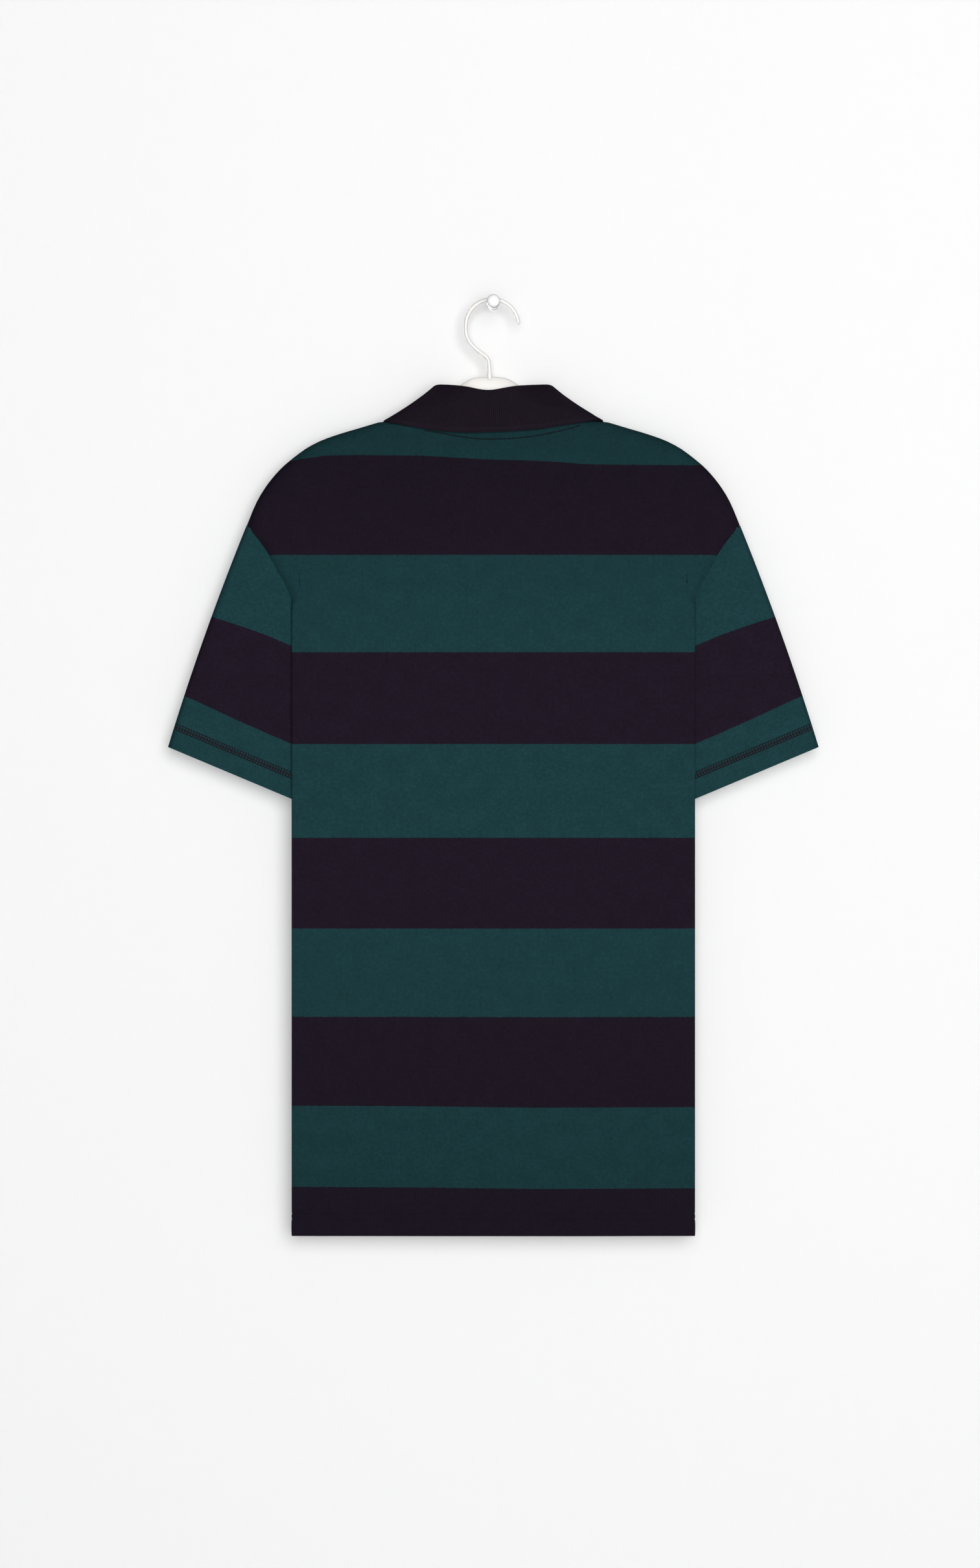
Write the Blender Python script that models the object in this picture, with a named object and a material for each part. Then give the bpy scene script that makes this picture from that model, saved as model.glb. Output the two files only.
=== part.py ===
"""A striped polo shirt on a plastic hanger, hung from a round wall peg with its back to the viewer.

The shirt's sides are tucked in: at each side the back and the front fold inward, and the sleeve comes out
between the two folded layers. The front has a placket with three buttons, closed.

Frame: the origin is the centre of the peg's flat back, on the wall. +Z is up, +X is the viewer's right and
+Y runs into the wall. A depth is measured from the hanger's own plane, positive towards the viewer, where
the shirt's back is, and negative towards the wall, where its front is.

Sizes are in millimetres up to solid(), which makes every mesh in metres.
"""
import math

import bmesh
import bpy
import numpy as np

# ---- driving sizes, in millimetres ----
MM = 0.001
HANGER_Y = -16.0           # the hanger's plane, in front of the wall
PEG_LEVEL = 2.4            # height of the peg's middle line in the tables below, which in_space() takes off
CLOTH_WALL = 1.2
RIB_WALL = 1.4             # the collar's rib knit
SEAM_GAP = 0.3             # left between pieces that are sewn together
HEM_Z = -861.6
BODY_HALF = 186.6          # half of the body's visible width, at the side folds
FOLD_RADIUS = 1.75         # of the side folds
FOLD_X = BODY_HALF - CLOTH_WALL / 2 - FOLD_RADIUS
SIDE_SEAM_X = 101.4        # where back and front are sewn together, inside the tuck
SIDE_TURN = 5.0            # how far before the side seam a returning layer turns to the other one
UNDERARM_Z = -378.0
FOLD_TOP_Z = -272.0        # where the side fold starts, on the armhole seam
FOLD_FULL_Z = -289.0       # where the side fold is complete
SHOULDER_TURN = 12.0       # width of the round edge along the shoulder
SEAM_TURN = 6.0            # width of the slope down to the armhole seam
SEAM_DEPTH = 6.2           # of the body's cloth at the armhole seam
OPEN_TURN = 51.0           # degrees that the cloth slopes at that seam, at the top of the side fold
CENTRE_SWELL = 1.5         # how much further the middle of the body stands out

# Depth of the body's cloth at heights from the collar to the hem.
BODY_DEPTHS = (            # z, depth
    (-861.6, 10.3), (-620.0, 11.0), (-480.0, 11.5), (-290.0, 11.0), (-180.0, 9.5), (-120.0, 8.4), (-100.0, 8.0))

# Outlines of the right half, through the middle of the cloth: x, z.
BACK_NECK = ((0.0, -116.2), (30.0, -114.6), (60.0, -109.9), (78.0, -106.0), (86.5, -104.8))
FRONT_NECK = ((0.0, -184.2), (16.0, -184.2), (30.0, -176.0), (54.0, -154.0), (75.5, -123.5), (86.5, -104.8))
SHOULDER = (
    (86.5, -104.8), (97.0, -107.3), (106.0, -108.8), (113.0, -110.5), (122.5, -113.3), (141.8, -119.0),
    (158.5, -124.9), (170.5, -130.9), (179.6, -137.0), (194.3, -149.0), (205.5, -161.2), (214.0, -173.2),
    (220.6, -185.4), (228.6, -204.8))
ARMHOLE = (
    (103.0, -378.0), (128.0, -362.0), (152.0, -338.0), (172.0, -310.0), (183.0, -288.0),
    (186.6, -272.0), (191.3, -256.5), (199.0, -244.3), (211.2, -224.4), (228.6, -204.8))

# Columns of the panels' grids, from the middle to the side fold and to the sleeve's end of the shoulder.
BACK_COLUMNS = (           # x on the body, x at the neck and shoulder
    (0, 0), (19, 24), (38, 48), (55, 65), (70, 76), (84, 82.5), (97, 85.7), (110, 86.5), (128, 113),
    (147, 141), (166, 168), (FOLD_X, 191))
FRONT_COLUMNS = (
    (0, 0), (16, 16), (34, 34), (51, 54), (67, 70), (83, 79.5), (97, 84.8), (110, 86.5), (128, 113),
    (147, 141), (166, 168), (FOLD_X, 191))
FOLD_TURNS = (60, 120, 180)                # degrees round the side fold
SIDE_TURNS = (0, 50, 90)                   # degrees of the turn down to the side seam
EDGE_COLUMNS = len(FOLD_TURNS + SIDE_TURNS)
LOWER_ROWS = (HEM_Z, -740, -610, -480, -430, -392, UNDERARM_Z, -367, -350, -325, -305, FOLD_FULL_Z,
              -284, -278)
RISING_ROWS = (0, 0.25, 0.5, 0.75, 1)      # shares of the way up to the round edge of the shoulder
EDGE_ROWS = (6, 2.5, 0.7, 0)               # distances from the shoulder and the neckline

# The sleeve's hem, in the middle of its cloth, and the sleeve's flat shape.
SLEEVE_HEM = ((136.4, -478.4), (301.0, -409.3))
SLEEVE_BOW = 2.2           # how far the sleeve's outer edge bows out
SLEEVE_DEPTHS = (5.2, 4.5)                 # at the armhole and at the hem
SLEEVE_TURN_OUT = 10.0     # widths of the sleeve's round edges
SLEEVE_TURN_IN = 8.0
SLEEVE_SHIFT = (3.5, 0.45)                 # the sleeve's distance from the armhole, underarm and shoulder
SLEEVE_ROWS = (0, 0.02, 0.08, 0.2, 0.36, 0.52, 0.68, 0.84, 0.94, 1)
SLEEVE_COLUMNS = (0, 0.01, 0.03, 0.07, 0.15, 0.3, 0.45, 0.6, 0.75, 0.87, 0.94, 0.975, 0.992)

# The collar, from the middle of the back to its front end: x, depth, z of the fold's centre line, and x, z of
# the neck seam and of the leaf's outer edge, which lie on the panels.
COLLAR = (                 # neck x, fold x, fold depth, fold z, edge x, edge z, the edge's lift off the panel
    (0.0, 0.0, 10.0, -80.6, 0.0, -117.3, 2.4),
    (30.0, 25.0, 10.0, -77.2, 38.0, -116.4, 2.4),
    (60.0, 41.5, 9.6, -76.0, 72.0, -112.4, 2.8),
    (80.0, 51.0, 7.5, -75.9, 97.0, -108.4, 5.5),
    (86.5, 54.9, 0.0, -77.5, 103.2, -106.5, 2.4),
    (84.0, 53.5, -7.5, -80.5, 103.0, -110.0, 5.0),
    (75.5, 47.0, -9.5, -94.5, 97.0, -127.0, 3.0),
    (54.0, 33.0, -10.0, -120.0, 88.0, -152.0, 2.4),
    (30.0, 18.0, -10.0, -142.0, 76.0, -178.0, 2.4),
    (3.0, 6.0, -10.0, -154.0, 58.0, -196.0, 2.4))
COLLAR_SHOULDER = 4        # the station on the shoulder: those before it lie on the back, the rest in front
COLLAR_STEPS = 2           # sections from each station to the next
COLLAR_FOLD = 1.5          # radius of the fold
COLLAR_SKEW = 1.4          # how much lower the back's edge hangs on the left than on the right, each way
COLLAR_SAG = 1.8           # how far the leaf sinks between its fold and the shoulder

PLACKET_HALF = 16.0
PLACKET_END_Z = -325.0
UNDER_BAND_HALF = 14.0
UNDER_BAND_INWARD = 1.8
BUTTON_HEIGHTS = (-205.0, -250.0, -295.0)
BUTTON_PROFILE = (         # radius, height over the band
    (0.0, 0.0), (5.2, 0.0), (5.7, 0.6), (5.7, 1.7), (5.2, 2.4), (4.3, 2.4), (3.7, 1.8), (0.0, 1.6))
BUTTON_SIDES = 16

HANGER_SECTIONS = (        # x, top z, height, thickness
    (0.0, -64.7, 31.0, 10.0), (10.0, -65.1, 31.0, 10.0), (17.0, -66.8, 30.5, 10.0), (22.0, -69.8, 29.0, 10.0),
    (26.0, -72.8, 27.5, 10.0), (34.0, -78.4, 25.5, 9.5), (52.0, -89.3, 20.0, 9.0), (86.5, -108.5, 14.0, 8.5),
    (122.0, -116.8, 12.0, 8.0), (158.0, -128.8, 12.0, 8.0), (179.0, -141.0, 12.0, 8.0),
    (194.0, -154.0, 11.5, 7.5), (200.5, -162.3, 9.0, 6.5), (203.0, -167.5, 3.0, 3.0))
HANGER_SIDES = 14
DOME_SHIFT = (-3.5, 86.5)  # how far the dome stands to the left, and the x where the arms are even again

HOOK_CENTRE = (-1.2, -18.0)
HOOK_RADIUS = 24.4         # of the bar's middle line
HOOK_BAR = (3.6, 4.5)      # across the bar in the hanger's plane, and along Y
HOOK_TIP_ANGLE = 2.0
HOOK_ARC_STEPS = 20
HOOK_NECK = (              # x, z from the arc down to the hanger's dome
    (-25.6, -23.5), (-24.7, -27.7), (-22.5, -32.6), (-18.7, -37.4), (-13.7, -41.8), (-8.2, -45.8),
    (-5.2, -49.2), (-4.2, -52.6), (-3.8, -57.1), (-3.6, -64.3))
HOOK_SIDES = 12

PEG_PROFILE = (            # distance from the wall, radius
    (0.0, 0.0), (0.0, 4.8), (9.5, 5.0), (11.0, 1.9), (21.0, 1.9), (23.5, 5.4), (26.0, 6.0), (37.5, 6.0),
    (39.2, 5.3), (40.0, 3.8), (40.3, 0.0))
PEG_SIDES = 32


# ---- curves and depths ----
def smooth(points, steps=10):
    """A smooth curve through the points, with this many steps from each point to the next."""
    given = np.array(points, float)
    ends = np.vstack([2 * given[0] - given[1], given, 2 * given[-1] - given[-2]])
    curve = []
    for before, start, stop, after in zip(ends, ends[1:], ends[2:], ends[3:]):
        for t in np.arange(steps) / steps:
            bend = (2 * before - 5 * start + 4 * stop - after) * t ** 2
            twist = (3 * start - before - 3 * stop + after) * t ** 3
            curve.append((2 * start + (stop - before) * t + bend + twist) / 2)
    curve.append(given[-1])
    return np.array(curve)


def along(curve, shares):
    """The points at these shares of the curve's length."""
    steps = np.linalg.norm(np.diff(curve, axis=0), axis=1)
    run = np.concatenate([[0], np.cumsum(steps)]) / steps.sum()
    return np.stack([np.interp(shares, run, curve[:, k]) for k in range(curve.shape[1])], axis=-1)


def distance(curve, x, z):
    """Distance of each point from a curve in the shirt's plane."""
    point = np.stack(np.broadcast_arrays(x, z), -1)[..., None, :]
    start, step = curve[:-1], np.diff(curve, axis=0)
    share = np.clip(((point - start) * step).sum(-1) / (step * step).sum(-1), 0, 1)
    return np.linalg.norm(point - start - share[..., None] * step, axis=-1).min(-1)


def round_edge(share):
    """Height of a quarter circle, from 0 at its edge to 1."""
    return np.sqrt(1 - (1 - np.clip(share, 0, 1)) ** 2)


def ease(share):
    """A soft step from 0 to 1."""
    share = np.clip(share, 0, 1)
    return share * share * (3 - 2 * share)


BACK_NECK_CURVE = smooth(BACK_NECK)
FRONT_NECK_CURVE = np.vstack([FRONT_NECK[0], smooth(FRONT_NECK[1:])])
SHOULDER_CURVE = smooth(SHOULDER)
ARMHOLE_CURVE = smooth(ARMHOLE)
VISIBLE_ARMHOLE = ARMHOLE_CURVE[ARMHOLE_CURVE[:, 1] >= FOLD_TOP_Z - 0.01]
OPEN_ARMHOLE = ARMHOLE_CURVE[ARMHOLE_CURVE[:, 1] >= FOLD_FULL_Z]


def level_depth(z):
    """Depth of the body's cloth at a height, at the side folds."""
    heights, depths = zip(*BODY_DEPTHS)
    return np.interp(z, heights, depths)


def body_depth(x, z):
    """Depth of the body's cloth at a point of its outline's plane."""
    x, z = np.abs(x), np.asarray(z, float)
    swell = CENTRE_SWELL * np.clip(1 - (x / BODY_HALF) ** 2, 0, 1) * ease((-150 - z) / 100)
    flat = level_depth(z) + swell
    slope = np.sin(np.clip(distance(OPEN_ARMHOLE, x, z) / SEAM_TURN, 0, 1) * math.pi / 2)
    near_seam = SEAM_DEPTH + (flat - SEAM_DEPTH) * np.where(z > FOLD_FULL_Z, slope, 1)
    return near_seam * round_edge(distance(SHOULDER_CURVE, x, z) / SHOULDER_TURN)


def armhole_x(z):
    """Half-width of the armhole seam at a height."""
    return np.interp(z, ARMHOLE_CURVE[:, 1], ARMHOLE_CURVE[:, 0])


# ---- the front and back panels ----
def open_row(z, columns):
    """x and depth from the middle to the armhole seam, above the side fold."""
    flat_x = [low for low, _ in columns[:-1]]
    edge_x = np.linspace(armhole_x(z) - SEAM_TURN, armhole_x(z), EDGE_COLUMNS + 1)
    x = np.concatenate([flat_x, edge_x])
    return x, body_depth(x, z)


def opening_edge(z, level):
    """The edge of a row near the top of the side fold, where the fold opens out into the armhole seam."""
    share = (z - FOLD_FULL_Z) / (FOLD_TOP_Z - FOLD_FULL_Z)
    turn = math.radians(180 + (OPEN_TURN - 180) * share)
    drop = 2 * FOLD_RADIUS + (level - SEAM_DEPTH - 2 * FOLD_RADIUS) * share
    radius = drop / (1 - math.cos(turn))
    outermost = BODY_HALF - CLOTH_WALL / 2 * (1 - share)
    start = outermost - radius * math.sin(min(turn, math.pi / 2))
    steps = turn * np.arange(EDGE_COLUMNS + 1) / EDGE_COLUMNS
    return start + radius * np.sin(steps), level - radius * (1 - np.cos(steps))


def tucked_edge(z, level):
    """The edge of a row that folds round and runs back inward, to the armhole or to the side seam."""
    turn = np.radians((0,) + FOLD_TURNS)
    inner = level - 2 * FOLD_RADIUS
    if z < UNDERARM_Z:
        last = np.radians(SIDE_TURNS)
        end_x = SIDE_SEAM_X + SIDE_TURN * (1 - np.sin(last))
        end_depth = SEAM_GAP / 2 + (inner - SEAM_GAP / 2) * np.cos(last)
    else:
        end_x = armhole_x(z) + SIDE_TURN * np.linspace(1, 0, len(SIDE_TURNS))
        end_depth = np.full(len(SIDE_TURNS), inner)
    x = np.concatenate([FOLD_X + FOLD_RADIUS * np.sin(turn), end_x])
    return x, np.concatenate([level - FOLD_RADIUS * (1 - np.cos(turn)), end_depth])


def lower_row(z, columns):
    """x and depth of a row below the top of the side fold, from the middle to its end inside the tuck."""
    level = level_depth(z)
    x = np.array([low for low, _ in columns[:-1]], float)
    flat = level + CENTRE_SWELL * (1 - (x / BODY_HALF) ** 2)
    edge_x, edge_depth = (tucked_edge if z < FOLD_FULL_Z else opening_edge)(z, level)
    return np.concatenate([x, edge_x]), np.concatenate([flat, edge_depth])


def upper_part(columns, neck_curve):
    """x and z of the rows from the top of the side fold up to the neckline and the shoulder."""
    low_x, _ = open_row(FOLD_TOP_Z, columns)
    top_x = np.concatenate([[top for _, top in columns],
                            np.linspace(columns[-1][1], SHOULDER[-1][0], EDGE_COLUMNS + 1)[1:]])
    top_line = np.vstack([neck_curve, SHOULDER_CURVE[1:]])
    low = np.stack([low_x, np.full_like(low_x, FOLD_TOP_Z)], -1)
    top = np.stack([top_x, np.interp(top_x, top_line[:, 0], top_line[:, 1])], -1)
    length = np.linalg.norm(top - low, axis=1)
    edge = SHOULDER_TURN / length
    heights = [share * (1 - edge) for share in RISING_ROWS] + [1 - gap / length for gap in EDGE_ROWS]
    across = (low_x / low_x[-1])[:, None]
    rows = []
    for height in heights:
        straight = low + (top - low) * height[:, None]
        side = along(VISIBLE_ARMHOLE, height)
        chord = VISIBLE_ARMHOLE[0] + (VISIBLE_ARMHOLE[-1] - VISIBLE_ARMHOLE[0]) * height[:, None]
        rows.append(straight + across * (side - chord))
    return np.array(rows)


def half_panel(columns, neck_curve):
    """The right half of a panel as rows of x, depth and z."""
    rows = []
    for z in LOWER_ROWS:
        x, depth = lower_row(z, columns)
        rows.append(np.stack([x, depth, np.full_like(x, z)], -1))
    for row in upper_part(columns, neck_curve):
        depth = np.maximum(body_depth(row[:, 0], row[:, 1]), SEAM_GAP / 2)
        rows.append(np.stack([row[:, 0], depth, row[:, 1]], -1))
    return np.array(rows)


def both_halves(half):
    """A whole panel from its right half, by mirroring the columns."""
    return np.concatenate([half[:, :0:-1] * (-1, 1, 1), half], axis=1)


# ---- solids ----
def in_space(points):
    """Points given as x, depth, z, moved to where they are, in metres."""
    points = np.asarray(points, float)
    placed = np.stack([points[..., 0], HANGER_Y - points[..., 1], points[..., 2] - PEG_LEVEL], -1)
    return placed * MM


def finish(name, mesh, look):
    """The mesh as an object with a material of its own, smooth but for its sharp corners."""
    colour, roughness = look
    mesh.shade_smooth()
    mesh.set_sharp_from_angle(angle=math.radians(40))
    material = bpy.data.materials.new(name + "_finish")
    material.use_nodes = True
    shader = material.node_tree.nodes["Principled BSDF"]
    shader.inputs["Base Color"].default_value = (*colour, 1)
    shader.inputs["Roughness"].default_value = roughness
    shader.inputs["Metallic"].default_value = 0
    mesh.materials.append(material)
    item = bpy.data.objects.new(name, mesh)
    bpy.context.scene.collection.objects.link(item)
    return item


def solid(name, points, faces, look):
    """A closed mesh object from points in x, depth, z and its faces."""
    bm = bmesh.new()
    verts = [bm.verts.new(point) for point in in_space(points)]
    for face in faces:
        bm.faces.new([verts[k] for k in face])
    bmesh.ops.delete(bm, geom=[v for v in bm.verts if not v.link_faces], context="VERTS")
    bmesh.ops.recalc_face_normals(bm, faces=bm.faces)
    mesh = bpy.data.meshes.new(name)
    bm.to_mesh(mesh)
    bm.free()
    return finish(name, mesh, look)


def wall(name, grid, thickness, look, kept=None, sides=0):
    """A closed wall of cloth round a grid of middle points.

    kept says which cells of the grid there are. sides is 1 or -1 for points that stay on that side of the
    hanger's plane, and 0 for the rest.
    """
    rows, columns = grid.shape[:2]
    kept = np.ones((rows - 1, columns - 1), bool) if kept is None else kept
    normal = np.cross(np.gradient(grid, axis=1), np.gradient(grid, axis=0))
    normal /= np.linalg.norm(normal, axis=-1, keepdims=True)
    layers = [grid + normal * thickness / 2, grid - normal * thickness / 2]
    sides = np.broadcast_to(sides, (rows, columns))
    for layer in layers:
        depth = layer[..., 1]
        depth[sides > 0] = np.maximum(depth[sides > 0], SEAM_GAP / 2)
        depth[sides < 0] = np.minimum(depth[sides < 0], -SEAM_GAP / 2)
    points = np.concatenate([layer.reshape(-1, 3) for layer in layers])
    size = rows * columns
    faces, rims = [], {}
    for i, j in np.argwhere(kept):
        ring = [i * columns + j, i * columns + j + 1, (i + 1) * columns + j + 1, (i + 1) * columns + j]
        faces += [ring, [size + k for k in reversed(ring)]]
        for edge in zip(ring, ring[1:] + ring[:1]):
            if rims.pop(edge[::-1], None) is None:
                rims[edge] = True
    faces += [[stop, start, size + start, size + stop] for start, stop in rims]
    return solid(name, points, faces, look)


def turned(name, profile, sides, centre, look):
    """A round solid, spun about a line along the depth: profile holds distance along it and radius."""
    x, start, z = centre
    turn = np.arange(sides) * 2 * math.pi / sides
    points = [(x, start + profile[0][0], z), (x, start + profile[-1][0], z)]
    for step, radius in profile[1:-1]:
        points += [(x + radius * math.cos(a), start + step, z + radius * math.sin(a)) for a in turn]
    rings = [[2 + r * sides + k for k in range(sides)] for r in range(len(profile) - 2)]
    return solid(name, points, capped(rings, 0, 1), look)


def capped(rings, first, last):
    """Faces over rings of point numbers, closed at both ends by a fan to a point."""
    faces = []
    for low, high in zip(rings, rings[1:]):
        for k in range(len(low)):
            after = (k + 1) % len(low)
            faces.append([low[k], low[after], high[after], high[k]])
    for ring, tip in ((rings[0], first), (rings[-1], last)):
        faces += [[ring[k], ring[(k + 1) % len(ring)], tip] for k in range(len(ring))]
    return faces


def swept(name, path, bar, sides, look):
    """A bar along a path in the hanger's plane, from its rounded tip."""
    path = np.array(path, float)
    tangent = np.gradient(path, axis=0)
    tangent /= np.linalg.norm(tangent, axis=1, keepdims=True)
    across = np.stack([-tangent[:, 1], tangent[:, 0]], -1)
    size = np.ones(len(path))
    size[0] = 0.6                          # the free tip is rounded
    points = [(path[0, 0], 0, path[0, 1]), (path[-1, 0], 0, path[-1, 1])]
    for (x, z), (dx, dz), scale in zip(path, across, size):
        for k in range(sides):
            angle = 2 * math.pi * k / sides
            out = bar[0] / 2 * math.cos(angle) * scale
            points.append((x + dx * out, bar[1] / 2 * math.sin(angle) * scale, z + dz * out))
    rings = [[2 + r * sides + k for k in range(sides)] for r in range(len(path))]
    return solid(name, points, capped(rings, 0, 1), look)


# ---- the shirt's pieces ----
NAVY = ((0.010, 0.008, 0.014), 0.9)        # colour, roughness
BUTTON_LOOK = ((0.02, 0.02, 0.03), 0.35)
PLASTIC = ((0.84, 0.82, 0.80), 0.4)
PEG_LOOK = ((0.80, 0.80, 0.80), 0.4)


def make_back():
    panel = both_halves(half_panel(BACK_COLUMNS, BACK_NECK_CURVE))
    wall("back_panel", panel, CLOTH_WALL, NAVY, sides=1)


def make_front():
    """The front panel with its slit, and the two bands that fill the slit."""
    panel = both_halves(half_panel(FRONT_COLUMNS, FRONT_NECK_CURVE)) * (1, -1, 1)
    middle = panel.shape[1] // 2
    slit = LOWER_ROWS.index(PLACKET_END_Z)
    kept = np.ones((panel.shape[0] - 1, panel.shape[1] - 1), bool)
    kept[slit:, middle - 1:middle + 1] = False
    wall("front_panel", panel, CLOTH_WALL, NAVY, kept=kept, sides=-1)
    band = panel[slit:, middle - 1:middle + 2].copy()
    band[0, :, 2] += SEAM_GAP
    band[-1, :, 2] -= SEAM_GAP
    band[:, :, 0] *= (PLACKET_HALF - SEAM_GAP) / PLACKET_HALF
    wall("placket_upper", band, CLOTH_WALL, NAVY)
    under = band.copy()
    under[:, :, 0] *= UNDER_BAND_HALF / PLACKET_HALF
    under[:, :, 1] += UNDER_BAND_INWARD
    wall("placket_under", under, CLOTH_WALL, NAVY)
    for number, z in enumerate(BUTTON_HEIGHTS, start=1):
        depth = np.interp(z, band[:, 1, 2], band[:, 1, 1]) - CLOTH_WALL / 2 - SEAM_GAP
        profile = [(-height, radius) for radius, height in BUTTON_PROFILE]
        turned(f"button_{number}", profile, BUTTON_SIDES, (0, depth, z), BUTTON_LOOK)


def make_sleeve(name, hand):
    """A sleeve from the armhole to its hem: back layer, round outer edge, front layer, open to the hem."""
    shares = np.array(SLEEVE_COLUMNS + (1,))
    start = along(ARMHOLE_CURVE, shares)
    run = np.gradient(start, axis=0)
    out = np.stack([run[:, 1], -run[:, 0]], -1) / np.linalg.norm(run, axis=1, keepdims=True)
    shift = SLEEVE_SHIFT[0] + (SLEEVE_SHIFT[1] - SLEEVE_SHIFT[0]) * ease(shares / 0.3)
    start = start + out * shift[:, None]
    hem = np.array(SLEEVE_HEM[0]) + np.outer(shares, np.subtract(SLEEVE_HEM[1], SLEEVE_HEM[0]))
    rows = []
    for down in SLEEVE_ROWS:
        line = start + (hem - start) * down
        line[:, 0] += SLEEVE_BOW * 4 * down * (1 - down) * shares ** 2
        width = np.linalg.norm(line[-1] - line[0])
        level = SLEEVE_DEPTHS[0] + (SLEEVE_DEPTHS[1] - SLEEVE_DEPTHS[0]) * down
        rounded = round_edge((1 - shares) * width / SLEEVE_TURN_OUT) * round_edge(shares * width / SLEEVE_TURN_IN)
        depth = SEAM_GAP / 2 + (level - SEAM_GAP / 2) * rounded
        depth[-1] = 0
        back = np.stack([line[:, 0], depth, line[:, 1]], -1)
        rows.append(np.concatenate([back, back[-2::-1] * (1, -1, 1)]))
    grid = np.array(rows) * (hand, 1, 1)
    sides = np.zeros(grid.shape[1])
    sides[:3], sides[-3:] = 1, -1
    wall(name, grid, CLOTH_WALL, NAVY, sides=sides)


def collar_lines():
    """Neck seam, fold and outer edge of the whole collar, each as x, depth, z along the collar."""
    mirrored = np.array(COLLAR[1]) * (-1, -1, 1, 1, -1, 1, 1)
    rows = smooth([mirrored, *COLLAR], COLLAR_STEPS)[COLLAR_STEPS:]
    neck_x, fold_x, fold_depth, fold_z, edge_x, edge_z, lift = rows.T
    side = np.sign(COLLAR_SHOULDER * COLLAR_STEPS - np.arange(len(neck_x)))
    neck_x = np.minimum(neck_x, SHOULDER[0][0])
    curves = (FRONT_NECK_CURVE, BACK_NECK_CURVE)
    neck_z = np.where(side < 0, *(np.interp(neck_x, curve[:, 0], curve[:, 1]) for curve in curves))
    neck = np.stack([neck_x, body_depth(neck_x, neck_z) * side, neck_z], -1)
    fold = np.stack([fold_x, fold_depth, fold_z], -1)
    edge = np.stack([edge_x, (body_depth(edge_x, edge_z) + lift) * side, edge_z], -1)
    neck, fold, edge = (np.concatenate([line[:0:-1] * (-1, 1, 1), line]) for line in (neck, fold, edge))
    shoulder_x = COLLAR[COLLAR_SHOULDER][4]
    on_back = edge[:, 1] > 0
    edge[on_back, 2] += COLLAR_SKEW * np.sin(math.pi * edge[on_back, 0] / shoulder_x)
    return neck, fold, edge


def make_collar():
    """One folded strip of rib: it stands up from the neckline, folds over and falls outside."""
    neck, fold, edge = collar_lines()
    run = np.gradient(fold, axis=0)
    run /= np.linalg.norm(run, axis=1, keepdims=True)
    over = fold - (neck + edge) / 2
    over -= (over * run).sum(1, keepdims=True) * run
    over /= np.linalg.norm(over, axis=1, keepdims=True)
    outward = np.cross(run, over)
    outward *= np.sign((outward * (edge - neck)).sum(1, keepdims=True))
    rise = (fold - neck) / np.linalg.norm(fold - neck, axis=1, keepdims=True)
    neck = neck + rise * (CLOTH_WALL / 2 + SEAM_GAP)
    inner, outer = fold - outward * COLLAR_FOLD, fold + outward * COLLAR_FOLD
    lines = [neck, (neck + inner) / 2, inner]
    for angle in np.radians([45, 90, 135]):
        lines.append(fold + COLLAR_FOLD * (over * math.sin(angle) - outward * math.cos(angle)))
    sag = COLLAR_SAG * np.maximum(outward[:, 2:], 0) * outward
    for share in (0, 1 / 3, 2 / 3, 1):
        lines.append(outer + (edge - outer) * share - sag * 4 * share * (1 - share))
    wall("collar", np.array(lines), RIB_WALL, NAVY)


# ---- what holds the shirt up ----
def make_hanger():
    """The arms and the dome between them, lofted through upright oval sections."""
    half = np.array(HANGER_SECTIONS)
    sections = np.concatenate([half[:0:-1] * (-1, 1, 1, 1), half])
    shift, even_x = DOME_SHIFT
    sections[:, 0] += shift * ease(1 - np.abs(sections[:, 0]) / even_x)
    points = []
    for x, top, height, thickness in sections[[0, -1]]:
        points.append((x, 0, top - height / 2))
    for x, top, height, thickness in sections:
        for k in range(HANGER_SIDES):
            angle = 2 * math.pi * k / HANGER_SIDES
            points.append((x, thickness / 2 * math.sin(angle), top - height / 2 * (1 - math.cos(angle))))
    rings = [[2 + r * HANGER_SIDES + k for k in range(HANGER_SIDES)] for r in range(len(sections))]
    solid("hanger", points, capped(rings, 0, 1), PLASTIC)


def make_hook():
    angles = np.radians(np.linspace(HOOK_TIP_ANGLE, 180, HOOK_ARC_STEPS))
    x, z = HOOK_CENTRE
    arc = [(x + HOOK_RADIUS * math.cos(a), z + HOOK_RADIUS * math.sin(a)) for a in angles]
    swept("hanger_hook", arc + list(HOOK_NECK), HOOK_BAR, HOOK_SIDES, PLASTIC)


def make_peg():
    profile = [(HANGER_Y + gap, radius) for gap, radius in PEG_PROFILE]
    turned("wall_peg", profile, PEG_SIDES, (0, 0, PEG_LEVEL), PEG_LOOK)


def main():
    for item in list(bpy.data.objects):
        bpy.data.objects.remove(item, do_unlink=True)
    make_back()
    make_front()
    make_sleeve("sleeve_right", 1)
    make_sleeve("sleeve_left", -1)
    make_collar()
    make_hanger()
    make_hook()
    make_peg()


main()
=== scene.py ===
"""A striped polo shirt on its hanger: cloth, seams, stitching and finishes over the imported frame.

Sizes are in millimetres and in the shirt's own terms: x to the viewer's right, depth from the hanger's plane
towards the viewer, and z up, as on the cutting table. in_space() turns them into the frame's metres.
"""

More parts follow.
